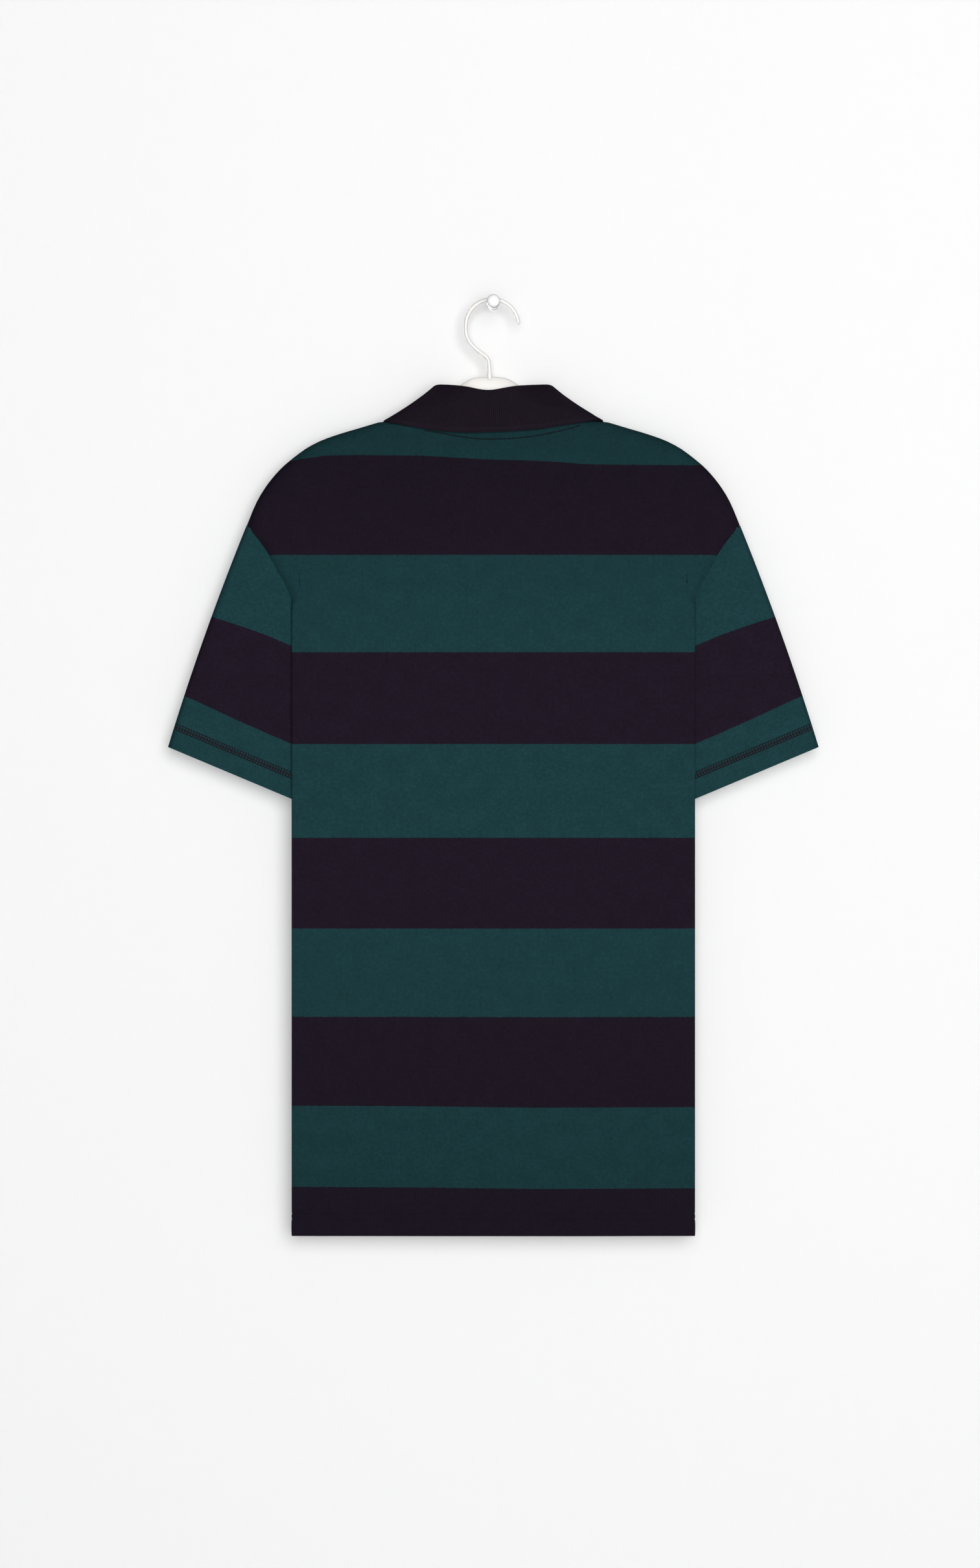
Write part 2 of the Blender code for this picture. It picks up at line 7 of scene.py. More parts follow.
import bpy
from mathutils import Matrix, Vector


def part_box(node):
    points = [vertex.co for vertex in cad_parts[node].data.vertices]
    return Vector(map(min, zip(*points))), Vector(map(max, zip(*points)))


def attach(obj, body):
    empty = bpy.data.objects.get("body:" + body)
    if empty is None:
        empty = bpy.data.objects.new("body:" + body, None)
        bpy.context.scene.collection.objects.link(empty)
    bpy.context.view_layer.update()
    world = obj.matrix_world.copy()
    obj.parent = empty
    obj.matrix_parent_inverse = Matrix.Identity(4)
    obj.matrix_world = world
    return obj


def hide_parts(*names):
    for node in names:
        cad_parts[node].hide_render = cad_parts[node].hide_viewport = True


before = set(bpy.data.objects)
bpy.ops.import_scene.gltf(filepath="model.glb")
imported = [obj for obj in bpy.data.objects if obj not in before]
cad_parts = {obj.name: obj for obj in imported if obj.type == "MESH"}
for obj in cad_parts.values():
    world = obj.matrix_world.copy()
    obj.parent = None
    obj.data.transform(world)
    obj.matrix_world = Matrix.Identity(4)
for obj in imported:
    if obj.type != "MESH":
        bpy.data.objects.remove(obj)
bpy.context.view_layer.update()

import math

import bmesh
import bpy
import numpy as np
from mathutils import Vector
from mathutils.bvhtree import BVHTree

MM = 0.001


def node_range(name, axis):
    """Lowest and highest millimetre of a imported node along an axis."""
    low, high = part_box(name)
    return low[axis] / MM, high[axis] / MM


# ---- driving sizes, in millimetres ----
HANGER_Y = sum(node_range("hanger", 1)) / 2
CLOTH_WALL = 1.2
RIB_WALL = 1.4
SEAM_GAP = 0.3
HEM_Z = -861.6
PEG_LEVEL = HEM_Z - node_range("back_panel", 2)[0]
BODY_HALF = 186.6
FOLD_RADIUS = 1.0
FOLD_X = BODY_HALF - CLOTH_WALL / 2 - FOLD_RADIUS
SIDE_SEAM_X = 101.4
SIDE_TURN = 5.0
UNDERARM_Z = -378.0
FOLD_TOP_Z = -272.0
FOLD_FULL_Z = -289.0
SHOULDER_TURN = 12.0
SEAM_TURN = 8.0
SEAM_DEPTH = 6.2
OPEN_TURN = 43.0
CENTRE_SWELL = 1.5
SWELL_TOP = (-150, 100)  # height at which it ends, and how softly
DRAPE_ENDS = ((174, 40), 60)  # half-width where the swells end and how softly, distance from the shoulder
DRAPE_NECK = (1.3, 105, 22, 70)  # the calm oval under the neck: width to height, z, radius, how soft
HANGER_TIP = (0.8, 193, -166, 13, 16)  # its lift of the cloth, x, z, half-width, half-height

BODY_DEPTHS = (  # z, depth
    (-861.6, 10.3), (-620, 11), (-480, 11.5), (-290, 11), (-180, 9.5), (-120, 8.4),
    (-100, 8))
BACK_NECK = ((0, -116.2), (30, -114.6), (60, -109.9), (78, -106), (86.5, -104.8))
FRONT_NECK = ((0, -184.2), (16, -184.2), (30, -176), (54, -154), (75.5, -123.5), (86.5, -104.8))
SHOULDER = (
    (86.5, -104.8), (97, -107.3), (106, -108.4), (113, -110.4), (122.5, -113.3), (141.8, -119),
    (158.5, -124.9), (170.5, -130.9), (179.6, -137), (194.3, -149), (205.5, -161.2), (214, -173.2),
    (220.6, -185.4), (227.9, -203.2))
ARMHOLE = (
    (103, -378), (128, -362), (152, -338), (172, -310), (183, -288),
    (186.6, -272), (193, -256.5), (200, -244.3), (211.4, -224.4), (227.9, -203.2))

# How finely the cloth is laid out.
SHOULDER_COLUMNS = ((110, 86.5), (128, 113), (147, 141), (166, 168), (FOLD_X, 191))  # x on the body, x on top
BACK_COLUMNS = ((0, 0), (19, 24), (38, 48), (55, 65), (70, 76), (84, 82.5), (97, 85.7), *SHOULDER_COLUMNS)
FRONT_COLUMNS = ((0, 0), (16, 16), (34, 34), (51, 54), (67, 70), (83, 79.5), (97, 84.8), *SHOULDER_COLUMNS)
COLUMN_STEPS = 4  # columns from each of these to the next
FOLD_STEPS = 10  # columns round the side fold
RETURN_STEPS = 5  # columns on the layer that runs back inward
SIDE_STEPS = 4  # columns of the turn down to the side seam
FOLD_SHARE = 0.94  # of the opened fold that the fold's own columns take
KEY_ROWS = (HEM_Z, -740, -610, -480, -430, -392, UNDERARM_Z, -367, -350, -325, -305, FOLD_FULL_Z)
ROW_GAP = 4.5
HEM_ROW_GAP = 1.1
HEM_ROWS_TOP = HEM_Z + 26
OPENING_ROWS = 6
RISING_STEPS = 26
EDGE_ROWS = (12, 10, 8, 6.2, 4.6, 3.2, 2.1, 1.2, 0.55, 0.15, 0)

# The turned-up hems: how far they reach, what they add inside, and the lines of stitches along them.
BODY_HEM = 22.0
SLEEVE_HEM_DEPTH = 23.0
HEM_LINING = 1.1
HEM_STEP = 1.6  # length over which the lining ends
HEM_PUFF = 0.25
HEM_RIDGE = (0.12, 1.6)  # height and half-width of the swell between the lines of stitches
BODY_NEEDLES = (15.5, 20.7)
SLEEVE_NEEDLES = (17.3, 20, 22.8)
NEEDLE_GROOVE = (0.28, 0.9)  # depth and half-width of the dent along a line of stitches

SLEEVE_HEM = ((136.4, -478.4), (301.2, -409.2))
SLEEVE_BOW = 2.6
SLEEVE_DEPTHS = ((0, 0.06, 1), (4.8, 7.2, 6.8))  # share of the way to the hem, depth
SLEEVE_TURN_OUT = 6.0
SLEEVE_TURN_IN = 8.0
SLEEVE_SHIFT_OVER = 0.3  # share of the armhole over which the first turns into the second
SLEEVE_COVERED = (18, 0.975, 0.06)  # rise over which it gets covered, share where that ends, and fades
SLEEVE_SHIFT = (3.5, 0.45, -1.2)  # off the armhole: underarm, shoulder, where the body covers it
SLEEVE_EDGE_SHARE = 0.06  # share of the sleeve's width in each round edge
SLEEVE_EDGE_STEPS = 10
SLEEVE_FLAT_STEPS = 34
SLEEVE_ROW_STEPS = (34, 52)  # rows above and below the share of the way at which they get closer
SLEEVE_CLOSE_FROM = 0.75

COLLAR = (  # neck x, fold x, fold depth, fold z, edge x, edge z, the edge's lift off the panel
    (0, 0, 10, -80.6, 0, -118, 2.9),
    (30, 25, 10, -77.2, 38, -116.9, 2.9),
    (60, 41.5, 9.6, -76, 72, -112.6, 2.9),
    (80, 51, 7.5, -75.9, 95.5, -108.8, 3.2),
    (86.5, 54.9, 0, -77.5, 101.6, -107, 2.4),
    (84, 53.5, -7.5, -80.5, 101.6, -110, 5),
    (75.5, 47, -9.5, -94.5, 96.5, -127, 3),
    (54, 33, -10, -120, 88, -152, 2.4),
    (30, 18, -10, -142, 76, -178, 2.4),
    (3, 6, -10, -154, 58, -196, 2.4))
COLLAR_SHOULDER = 4
COLLAR_STEPS = 16
LEAN_FADE = 6.0  # depth towards the front over which the lean ends
COLLAR_FOLD = 1.5
COLLAR_LEAN = (  # x on the back's edge, how much higher it lies there, because it hangs crooked
    (-101.6, 0), (-88, -0.2), (-72, -0.9), (-55, -1), (-36, -0.9), (-18, -0.4), (0, 0.3),
    (18, 1), (34, 1.4), (50, 1.7), (66, 2.1), (78, 2.3), (90, 2.6), (97, 2.1), (101.6, 0.3))
FOLD_SKEW = (0.11, 19)  # how much the dip in the fold leans, and its width
COLLAR_SAG = 1.8
COLLAR_STAND_ROWS = 6
COLLAR_FOLD_ROWS = 9
COLLAR_LEAF_ROWS = 24
LEAF_CROWDING = 1.5  # how much closer its rows lie towards the edge
RIB_PITCH = 2.0  # on average over the strip
RIB_SAMPLES = 4  # columns to each rib
RIB_HEIGHT = 0.2
RIB_FADE = 0.8
WELT = 4.0  # plain band along the leaf's edge
WELT_RIDGE = (3.6, 1, 0.14)  # the raised row where the band begins: place, half-width, height
LEAF_THINNING = (0.33, 14)  # how much thinner each face is at the edge, and from how far

NECK_STITCHING = (  # x, z of the line that holds down the neck seam
    (-64, -116), (-50.2, -118.3), (-28, -122.2), (-4.5, -124.2), (30, -122.4), (60.9, -116.9),
    (82, -110.8))
NECK_STITCH = (1.9, 0.5, 0.6)  # a stitch's length, the gap to the next, the thread's radius
HEM_STITCH = (2.4, 0.7, 0.26)
PLACKET_STITCH = (2.2, 0.7, 0.24)
COVER_STITCH = (2.75, 0.8, 0.44)  # from one to the next, share of it that shows, the thread's radius
COVER_ZIGZAG = (0, 0.15, 0.3)  # where the looper's thread starts, turns and ends, in stitches
COVER_AHEAD = 0.01  # the lines start this share of the hem outside its inner end
BUTTONHOLE = (7.5, 0.62, 0.35, 1.5)  # half-length, bar to bar, the bars' inner and outer end

PLACKET_HALF = 16.0
PLACKET_SEWN = (2, 2.5, 16, -190)  # stitching: from the side, from the end, the box's height, its top
PLACKET_END_Z = -325.0
UNDER_BAND_HALF = 14.0
UNDER_BAND_INWARD = 1.8
BUTTON_HEIGHTS = (-205, -250, -295)
BUTTON_PROFILE = (  # radius, height over the band
    (0, 0), (5, 0), (5.5, 0.25), (5.7, 0.7), (5.7, 1.6), (5.5, 2.1), (5.1, 2.4), (4.5, 2.4),
    (4, 2.1), (3.6, 1.75), (3, 1.65), (0, 1.6))
BUTTON_SIDES = 64
BUTTON_HOLE = (0.95, 1.5)  # radius, and distance from one of the four to the next
BUTTON_DRILL = (3, -6)  # from under the button to over it
DRILL_SIDES = 16

HANGER_SECTIONS = (  # x, top z, height, thickness
    (0, -65.6, 30.1, 10), (10, -65.9, 30.2, 10), (17, -67.4, 29.9, 10), (22, -70, 28.8, 10),
    (26.5, -73, 27.3, 10), (34, -78.4, 25.5, 9.5), (52, -89.3, 20, 9), (86.5, -108.5, 14, 8.5),
    (122, -116.8, 12, 8), (158, -128.8, 12, 8), (179, -141, 12, 8),
    (194, -154, 11.5, 7.5), (200.5, -162.3, 9, 6.5), (203, -167.5, 3, 3))
HANGER_SIDES = 36
DOME_SHIFT = (-4.6, 86.5)
HOOK_CENTRE = (-1.2, -18)
HOOK_RADIUS = 24.4
HOOK_BAR = (3.6, 4.5)
HOOK_TIP_ANGLE = 2.0
HOOK_ARC_STEPS = 64
HOOK_NECK = (
    (-25.6, -23.5), (-24.7, -27.7), (-22.5, -32.6), (-18.7, -37.4), (-13.7, -41.8), (-8.2, -45.8),
    (-5.2, -49.2), (-4.2, -52.6), (-3.8, -57.1), (-3.6, -64.3))
HOOK_SIDES = 28
POINT_RADIUS = 0.02  # of a ring where a turned solid ends on its own line
ROUND_START = 0.02  # how far in the first ring of the round tip lies, in half widths
HOOK_ROOT = (5, 1.45)  # length of the flare into the dome, and how many times the bar it grows
PEG_PROFILE = (  # distance from the wall, radius
    (0, 0), (0, 4.8), (9.5, 5), (10.5, 3.6), (11, 1.9), (21, 1.9), (22, 3.2), (23.5, 5.2),
    (24.6, 5.9), (26, 6), (37.5, 6), (38.6, 5.7), (39.5, 4.9), (40.1, 3.4), (40.3, 0))
PEG_SIDES = 64

# Stripes: heights where the body's colour changes, from the hem up, and the sleeve's one navy stripe.
BODY_STRIPES = (-817, -741.9, -658.8, -577.1, -493.1, -406.5, -321.5, -231.5, -143.1)
SLEEVE_STRIPES = (0, 80)
SLEEVE_STRIPE_EDGES = (  # share across the sleeve, the stripe's two edges from the hem
    (0, 47, 130.5), (0.5, 47.1, 130.7), (0.7, 47.7, 130.8), (0.8, 48.4, 130.1), (0.9, 49.1, 128.6),
    (1, 49.6, 126.8))
TOP_STRIPE_DIP = (  # x, how much higher than usual the topmost change of colour lies
    (-187, -1.5), (-180, 0), (-156, 3.6), (-126, 4.2), (-66, 3.6), (-36, 1.8), (-3, 0), (24, -0.6),
    (54, -1.8), (84, -4.2), (114, -4.8), (187, -5.4))
LOW_STRIPE_DIP = ((-187, 1), (-60, 0.4), (40, -0.9), (187, -0.4))
STRIPE_DIP_ENDS = ((-225, 70), (-640, 80))  # where the dip at the top and the one below end, and how softly

# Colours as linear light. The body's tone is painted shade, darker towards the hem and under the collar; the
# sleeves' tone is an even shade lighter.
NAVY = (0.0114, 0.0073, 0.0151)
TEAL = (0.0088, 0.0375, 0.0427)
RIB_NAVY = (0.0108, 0.0070, 0.0128)
NAVY_THREAD = (0.0055, 0.0045, 0.0085)
COVER_THREAD = (0.0120, 0.0070, 0.0125)
# Painted shade on the body: darker towards the hem and under the collar.
BODY_PAINTED_SHADE = (  # z, tone
    (-861.6, 0.75), (-830, 0.78), (-781, 0.85), (-700, 0.90), (-618, 0.95), (-536, 1),
    (-363, 1), (-273, 0.955), (-185, 0.84), (-122, 0.72))
SLEEVE_TONE = 1.03
BUTTON_NAVY = (0.012, 0.012, 0.020)
WARM_WHITE = (0.86, 0.84, 0.81)
PEG_WHITE = (0.84, 0.84, 0.84)


# ---- curves and depths ----
def smooth(points, steps=10):
    """A smooth curve through the points, with this many steps from each point to the next."""
    given = np.array(points, float)
    ends = np.vstack([2 * given[0] - given[1], given, 2 * given[-1] - given[-2]])
    curve = []
    for before, start, stop, after in zip(ends, ends[1:], ends[2:], ends[3:]):
        for t in np.arange(steps) / steps:
            bend = (2 * before - 5 * start + 4 * stop - after) * t ** 2
            twist = (3 * start - before - 3 * stop + after) * t ** 3
            curve.append((2 * start + (stop - before) * t + bend + twist) / 2)
    curve.append(given[-1])
    return np.array(curve)


def run_length(curve):
    """Length along a curve at each of its points."""
    steps = np.linalg.norm(np.diff(curve, axis=0), axis=1)
    return np.concatenate([[0], np.cumsum(steps)])


def unit(vectors):
    """The vectors at length 1."""
    return vectors / np.maximum(np.linalg.norm(vectors, axis=-1, keepdims=True), 1e-9)


def flat_places(across, up):
    """Places on the flat cut, for the knit's grain."""
    return np.stack([np.broadcast_to(across, up.shape), up, np.zeros_like(up)], -1)


def table(rows, at):
    """A value read from a table of two columns."""
    return np.interp(at, *zip(*rows))


def between(at, known, rows):
    """Rows of values at places between the known ones."""
    return np.stack([np.interp(at, known, column) for column in np.transpose(rows)], -1)


def along(curve, shares):
    """The points at these shares of the curve's length."""
    run = run_length(curve)
    return between(shares, run / run[-1], curve)


def distance(curve, x, z):
    """Distance of each point from a curve in the shirt's plane."""
    point = np.stack(np.broadcast_arrays(x, z), -1)[..., None, :]
    start, step = curve[:-1], np.diff(curve, axis=0)
    share = np.clip(((point - start) * step).sum(-1) / (step * step).sum(-1), 0, 1)
    return np.linalg.norm(point - start - share[..., None] * step, axis=-1).min(-1)


def round_edge(share):
    """Height of a quarter circle, from 0 at its edge to 1."""
    return np.sqrt(1 - (1 - np.clip(share, 0, 1)) ** 2)


def ease(share):
    """A soft step from 0 to 1."""
    share = np.clip(share, 0, 1)
    return share * share * (3 - 2 * share)


def bump(offset):
    """A soft bump, 1 where the offset is 0."""
    return np.exp(-offset ** 2)


def refined(rows, steps):
    """The rows of a table with steps - 1 even rows put in between each two."""
    return between(np.arange((len(rows) - 1) * steps + 1) / steps, np.arange(len(rows)), rows)


BACK_NECK_CURVE = smooth(BACK_NECK)
FRONT_NECK_CURVE = np.vstack([FRONT_NECK[0], smooth(FRONT_NECK[1:])])
SHOULDER_CURVE = smooth(SHOULDER)
ARMHOLE_CURVE = smooth(ARMHOLE)
VISIBLE_ARMHOLE = ARMHOLE_CURVE[ARMHOLE_CURVE[:, 1] >= FOLD_TOP_Z - 0.01]
OPEN_ARMHOLE = ARMHOLE_CURVE[ARMHOLE_CURVE[:, 1] >= FOLD_FULL_Z]
EDGE_SHARES = np.concatenate([
    np.linspace(0, FOLD_SHARE, FOLD_STEPS + 1),
    np.linspace(FOLD_SHARE, 1, RETURN_STEPS + SIDE_STEPS + 1)[1:]])


def level_depth(z):
    """Depth of the body's cloth at a height, at the side folds."""
    return table(BODY_DEPTHS, z)


def body_depth(x, z):
    """Depth of the body's cloth at a point of its outline's plane."""
    x, z = np.abs(x), np.asarray(z, float)
    swell = CENTRE_SWELL * np.clip(1 - (x / BODY_HALF) ** 2, 0, 1) * ease((SWELL_TOP[0] - z) / SWELL_TOP[1])
    flat = level_depth(z) + swell
    slope = np.sin(np.clip(distance(OPEN_ARMHOLE, x, z) / SEAM_TURN, 0, 1) * math.pi / 2)
    near_seam = SEAM_DEPTH + (flat - SEAM_DEPTH) * np.where(z > FOLD_FULL_Z, slope, 1)
    return near_seam * round_edge(distance(SHOULDER_CURVE, x, z) / SHOULDER_TURN)


def armhole_x(z):
    """Half-width of the armhole seam at a height."""
    return np.interp(z, ARMHOLE_CURVE[:, 1], ARMHOLE_CURVE[:, 0])


# ---- the front and back panels ----
def opening_edge(z, level):
    """The edge of a row near the top of the side fold, where the fold opens out into the armhole seam."""
    share = (z - FOLD_FULL_Z) / (FOLD_TOP_Z - FOLD_FULL_Z)
    turn = math.radians(180 + (OPEN_TURN - 180) * share)
    drop = 2 * FOLD_RADIUS + (level - SEAM_DEPTH - 2 * FOLD_RADIUS) * share
    radius = drop / (1 - math.cos(turn))
    outermost = BODY_HALF - CLOTH_WALL / 2 * (1 - share)
    start = outermost - radius * math.sin(min(turn, math.pi / 2))
    steps = turn * EDGE_SHARES
    return start + radius * np.sin(steps), level - radius * (1 - np.cos(steps))


def tucked_edge(z, level):
    """The edge of a row that folds round and runs back inward, to the armhole or to the side seam."""
    turn = np.radians(np.linspace(0, 180, FOLD_STEPS + 1))
    inner = level - 2 * FOLD_RADIUS
    last = np.radians(np.linspace(0, 90, SIDE_STEPS + 1))
    if z < UNDERARM_Z:
        end_x = SIDE_SEAM_X + SIDE_TURN * (1 - np.sin(last))
        end_depth = SEAM_GAP / 2 + (inner - SEAM_GAP / 2) * np.cos(last)
    else:
        end_x = armhole_x(z) + min(SIDE_TURN, FOLD_X - armhole_x(z)) * np.linspace(1, 0, SIDE_STEPS + 1)
        end_depth = np.full(SIDE_STEPS + 1, inner)
    back_x = np.linspace(FOLD_X, end_x[0], RETURN_STEPS + 1)[1:-1]
    x = np.concatenate([FOLD_X + FOLD_RADIUS * np.sin(turn), back_x, end_x])
    fold_depth = level - FOLD_RADIUS * (1 - np.cos(turn))
    return x, np.concatenate([fold_depth, np.full(len(back_x), inner), end_depth])


def lower_row(z, columns):
    """Points of a row below the top of the side fold, from the middle to its end inside the tuck."""
    level = level_depth(z)
    x = columns[:-1, 0]
    flat = level + CENTRE_SWELL * (1 - (x / BODY_HALF) ** 2)
    edge_x, edge_depth = (tucked_edge if z < FOLD_FULL_Z else opening_edge)(z, level)
    x, depth = np.concatenate([x, edge_x]), np.concatenate([flat, edge_depth])
    return np.stack([x, depth, np.full_like(x, z)], -1)


def lower_part(columns):
    """All rows from the hem to the top of the side fold: close at the hem, even above it."""
    keys = np.array([lower_row(z, columns) for z in KEY_ROWS])
    heights = [HEM_Z]
    while heights[-1] < KEY_ROWS[-1]:
        gap = HEM_ROW_GAP if heights[-1] < HEM_ROWS_TOP else ROW_GAP
        heights.append(min(heights[-1] + gap, KEY_ROWS[-1]))
    heights = sorted(set(heights) | {PLACKET_END_Z})
    rows = []
    for z in heights:
        above = min(np.searchsorted(KEY_ROWS, z, side="right"), len(KEY_ROWS) - 1)
        share = (z - KEY_ROWS[above - 1]) / (KEY_ROWS[above] - KEY_ROWS[above - 1])
        rows.append(keys[above - 1] + (keys[above] - keys[above - 1]) * share)
    for z in np.linspace(FOLD_FULL_Z, FOLD_TOP_Z, OPENING_ROWS + 1)[1:-1]:
        rows.append(lower_row(z, columns))
    return rows


def upper_part(columns, neck_curve):
    """Rows from the top of the side fold up to the neckline and the shoulder."""
    low_x = np.concatenate([columns[:-1, 0], armhole_x(FOLD_TOP_Z) - SEAM_TURN * (1 - EDGE_SHARES)])
    last_x = columns[-1, 1]
    top_x = np.concatenate([columns[:-1, 1], last_x + (SHOULDER[-1][0] - last_x) * EDGE_SHARES])
    top_line = np.vstack([neck_curve, SHOULDER_CURVE[1:]])
    low = np.stack([low_x, np.full_like(low_x, FOLD_TOP_Z)], -1)
    top = np.stack([top_x, np.interp(top_x, top_line[:, 0], top_line[:, 1])], -1)
    length = np.linalg.norm(top - low, axis=1)
    edge = SHOULDER_TURN / length
    heights = [share * (1 - edge) for share in np.linspace(0, 1, RISING_STEPS + 1)[:-1]]
    heights += [1 - gap / length for gap in EDGE_ROWS]
    across = (low_x / low_x[-1])[:, None]
    rows = []
    for height in heights:
        straight = low + (top - low) * height[:, None]
        side = along(VISIBLE_ARMHOLE, height)
        chord = VISIBLE_ARMHOLE[0] + (VISIBLE_ARMHOLE[-1] - VISIBLE_ARMHOLE[0]) * height[:, None]
        x, z = (straight + across * (side - chord)).T
        rows.append(np.stack([x, np.maximum(body_depth(x, z), SEAM_GAP / 2), z], -1))
    return rows


def drape(x, z):
    """How far the hanging cloth stands out from its smooth shape: soft swells and the hanger's tips."""
    swell = 0.30 * np.sin(x / 41 + 0.6 * np.sin(z / 130)) * np.sin(z / 170 + 1.1)
    swell += 0.22 * np.sin((x + 0.5 * z) / 57 + 2.0) + 0.16 * np.sin((x - 0.35 * z) / 29 + 0.4)
    swell += 0.10 * np.sin((0.4 * x + z) / 17) * np.sin(x / 63 - 0.8)
    (half, soft), top = DRAPE_ENDS
    sides = ease((half - np.abs(x)) / soft)
    top = ease(np.minimum(distance(SHOULDER_CURVE, np.abs(x), z), top) / top)
    wide, below, radius, soft = DRAPE_NECK
    neck = ease((np.hypot(x / wide, z + below) - radius) / soft)
    height, tip_x, tip_z, wide, high = HANGER_TIP
    return swell * sides * top * neck + height * bump((np.abs(x) - tip_x) / wide) * bump((z - tip_z) / high)


def panel(columns, neck_curve):
    """A whole panel's middle surface, facing the viewer, as rows of x, depth and z."""
    columns = refined(columns, COLUMN_STEPS)
    half = np.array(lower_part(columns) + upper_part(columns, neck_curve))
    grid = np.concatenate([half[:, :0:-1] * (-1, 1, 1), half], axis=1)
    outer = grid[..., 1] > level_depth(grid[..., 2]) - 1
    upper = grid[..., 2] > FOLD_TOP_Z
    grid[..., 1] += drape(grid[..., 0], grid[..., 2]) * (outer | upper)
    return grid


def stripe_height(x, z):
    """Height on the striped cloth: the knit lies a little crooked at the top and near the hem."""
    (top_z, top_fade), (low_z, low_fade) = STRIPE_DIP_ENDS
    dip = table(TOP_STRIPE_DIP, x) * ease((z - top_z) / top_fade)
    return z - dip - table(LOW_STRIPE_DIP, x) * ease((low_z - z) / low_fade)


def hem_relief(up, reach, needles):
    """What a turned-up hem adds inside and outside, at a distance from the hem's edge."""
    lining = HEM_LINING * ease((reach - up) / HEM_STEP + 0.5)
    puff = HEM_PUFF * np.sin(np.clip(up / needles[0], 0, 1) * math.pi) ** 0.5
    (depth, half), (height, wide) = NEEDLE_GROOVE, HEM_RIDGE
    for needle in needles:
        puff = puff - depth * bump((up - needle) / half)
    return lining, puff + height * bump((up - np.mean(needles)) / wide)


# ---- solids ----
def in_space(points):
    """Points given as x, depth, z, moved to where they are, in metres."""
    points = np.asarray(points, float)
    placed = np.stack([points[..., 0], HANGER_Y - points[..., 1], points[..., 2] - PEG_LEVEL], -1)
    return placed * MM


def linked(name, data):
    """An object of the scene with this data."""
    item = bpy.data.objects.new(name, data)
    bpy.context.scene.collection.objects.link(item)
    return item


def mesh_object(name, points, faces, material, measures=None, sharp=60):
    """A piece on the root body, from points in metres, with its own measures kept as attributes."""
    points = np.asarray(points)
    used = np.unique(np.concatenate([np.ravel(face) for face in faces]))
    renumbered = np.zeros(len(points), int)
    renumbered[used] = np.arange(len(used))
    mesh = bpy.data.meshes.new(name)
    mesh.from_pydata(points[used].tolist(), [], [renumbered[list(face)].tolist() for face in faces])
    for key, values in (measures or {}).items():
        values = np.asarray(values, np.float32)[used]
        kind, field = ("FLOAT_VECTOR", "vector") if values.ndim == 2 else ("FLOAT", "value")
        mesh.attributes.new(key, kind, "POINT").data.foreach_set(field, values.ravel())
    shell = bmesh.new()
    shell.from_mesh(mesh)
    if shell.calc_volume(signed=True) < 0:
        mesh.flip_normals()
    shell.free()
    mesh.shade_smooth()
    mesh.set_sharp_from_angle(angle=math.radians(sharp))
    mesh.validate()
    mesh.materials.append(material)
    item = linked(name, mesh)
    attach(item, "root")
    return item


def cloth(name, grid, thickness, material, outward, measures, lining=0.0, puff=0.0, kept=None, sides=0):
    """A closed wall of cloth round a grid of middle points.

    outward is 1 or -1, for grids whose own normal points out of the shirt or into it. lining and puff are
    added inside and outside. kept says which cells there are, and sides keeps points on one side of the
    hanger's plane.
    """
    rows, columns = grid.shape[:2]
    kept = np.ones((rows - 1, columns - 1), bool) if kept is None else kept
    normal = unit(np.cross(np.gradient(grid, axis=1), np.gradient(grid, axis=0)) * outward)
    outside = np.broadcast_to(thickness / 2 + puff, (rows, columns))[..., None]
    inside = np.broadcast_to(thickness / 2 + lining, (rows, columns))[..., None]
    layers = [grid + normal * outside, grid - normal * inside]
    sides = np.broadcast_to(sides, (rows, columns))
    for layer in layers:
        depth = layer[..., 1]
        depth[sides > 0] = np.maximum(depth[sides > 0], SEAM_GAP / 2)
        depth[sides < 0] = np.minimum(depth[sides < 0], -SEAM_GAP / 2)
    points = in_space(np.concatenate([layer.reshape(-1, 3) for layer in layers]))
    size = rows * columns
    faces, rims = [], {}
    for i, j in np.argwhere(kept):
        ring = [i * columns + j, i * columns + j + 1, (i + 1) * columns + j + 1, (i + 1) * columns + j]
        ring = ring[::outward]
        faces += [ring, [size + k for k in reversed(ring)]]
        for edge in zip(ring, ring[1:] + ring[:1]):
            if rims.pop(edge[::-1], None) is None:
                rims[edge] = True
    faces += [[stop, start, size + start, size + stop] for start, stop in rims]
    doubled = {key: np.concatenate([value.reshape(size, *value.shape[2:])] * 2)
               for key, value in measures.items()}
    return mesh_object(name, points, faces, material, doubled)


def capped(count, sides):
    """Faces over rings of points that follow one another, with a flat cap at both ends."""
    rings = np.arange(count * sides).reshape(count, sides)
    low, high = rings[:-1], rings[1:]
    quads = np.stack([low, np.roll(low, -1, 1), np.roll(high, -1, 1), high], -1)
    return quads.reshape(-1, 4).tolist() + [rings[0, ::-1].tolist(), rings[-1].tolist()]


def circle(sides):
    """Angles evenly all the way round."""
    return np.arange(sides) * 2 * math.pi / sides


def lofted(name, rings, material, sharp):
    """A closed solid through rings of points given as x, depth and z."""
    faces = capped(len(rings), len(rings[0]))
    return mesh_object(name, in_space(np.concatenate(rings)), faces, material, sharp=sharp)


def turned(name, profile, sides, centre, material):
    """A round solid, spun about a line along the depth: profile holds distance along it and radius."""
    x, start, z = centre
    rings = []
    for step, radius in profile:
        radius, depth = max(radius, POINT_RADIUS), start + step
        rings.append([(x + radius * math.cos(a), depth, z + radius * math.sin(a)) for a in circle(sides)])
    return lofted(name, rings, material, 40)


# ---- node helpers ----
def add_node(tree, kind, inputs=None, **settings):
    """A node with its settings, its inputs set to values or linked to sockets."""
    made = tree.nodes.new(kind)
    for key, value in settings.items():
        setattr(made, key, value)
    for key, value in (inputs or {}).items():
        if isinstance(value, bpy.types.NodeSocket):
            tree.links.new(value, made.inputs[key])
        else:
            made.inputs[key].default_value = value
    return made


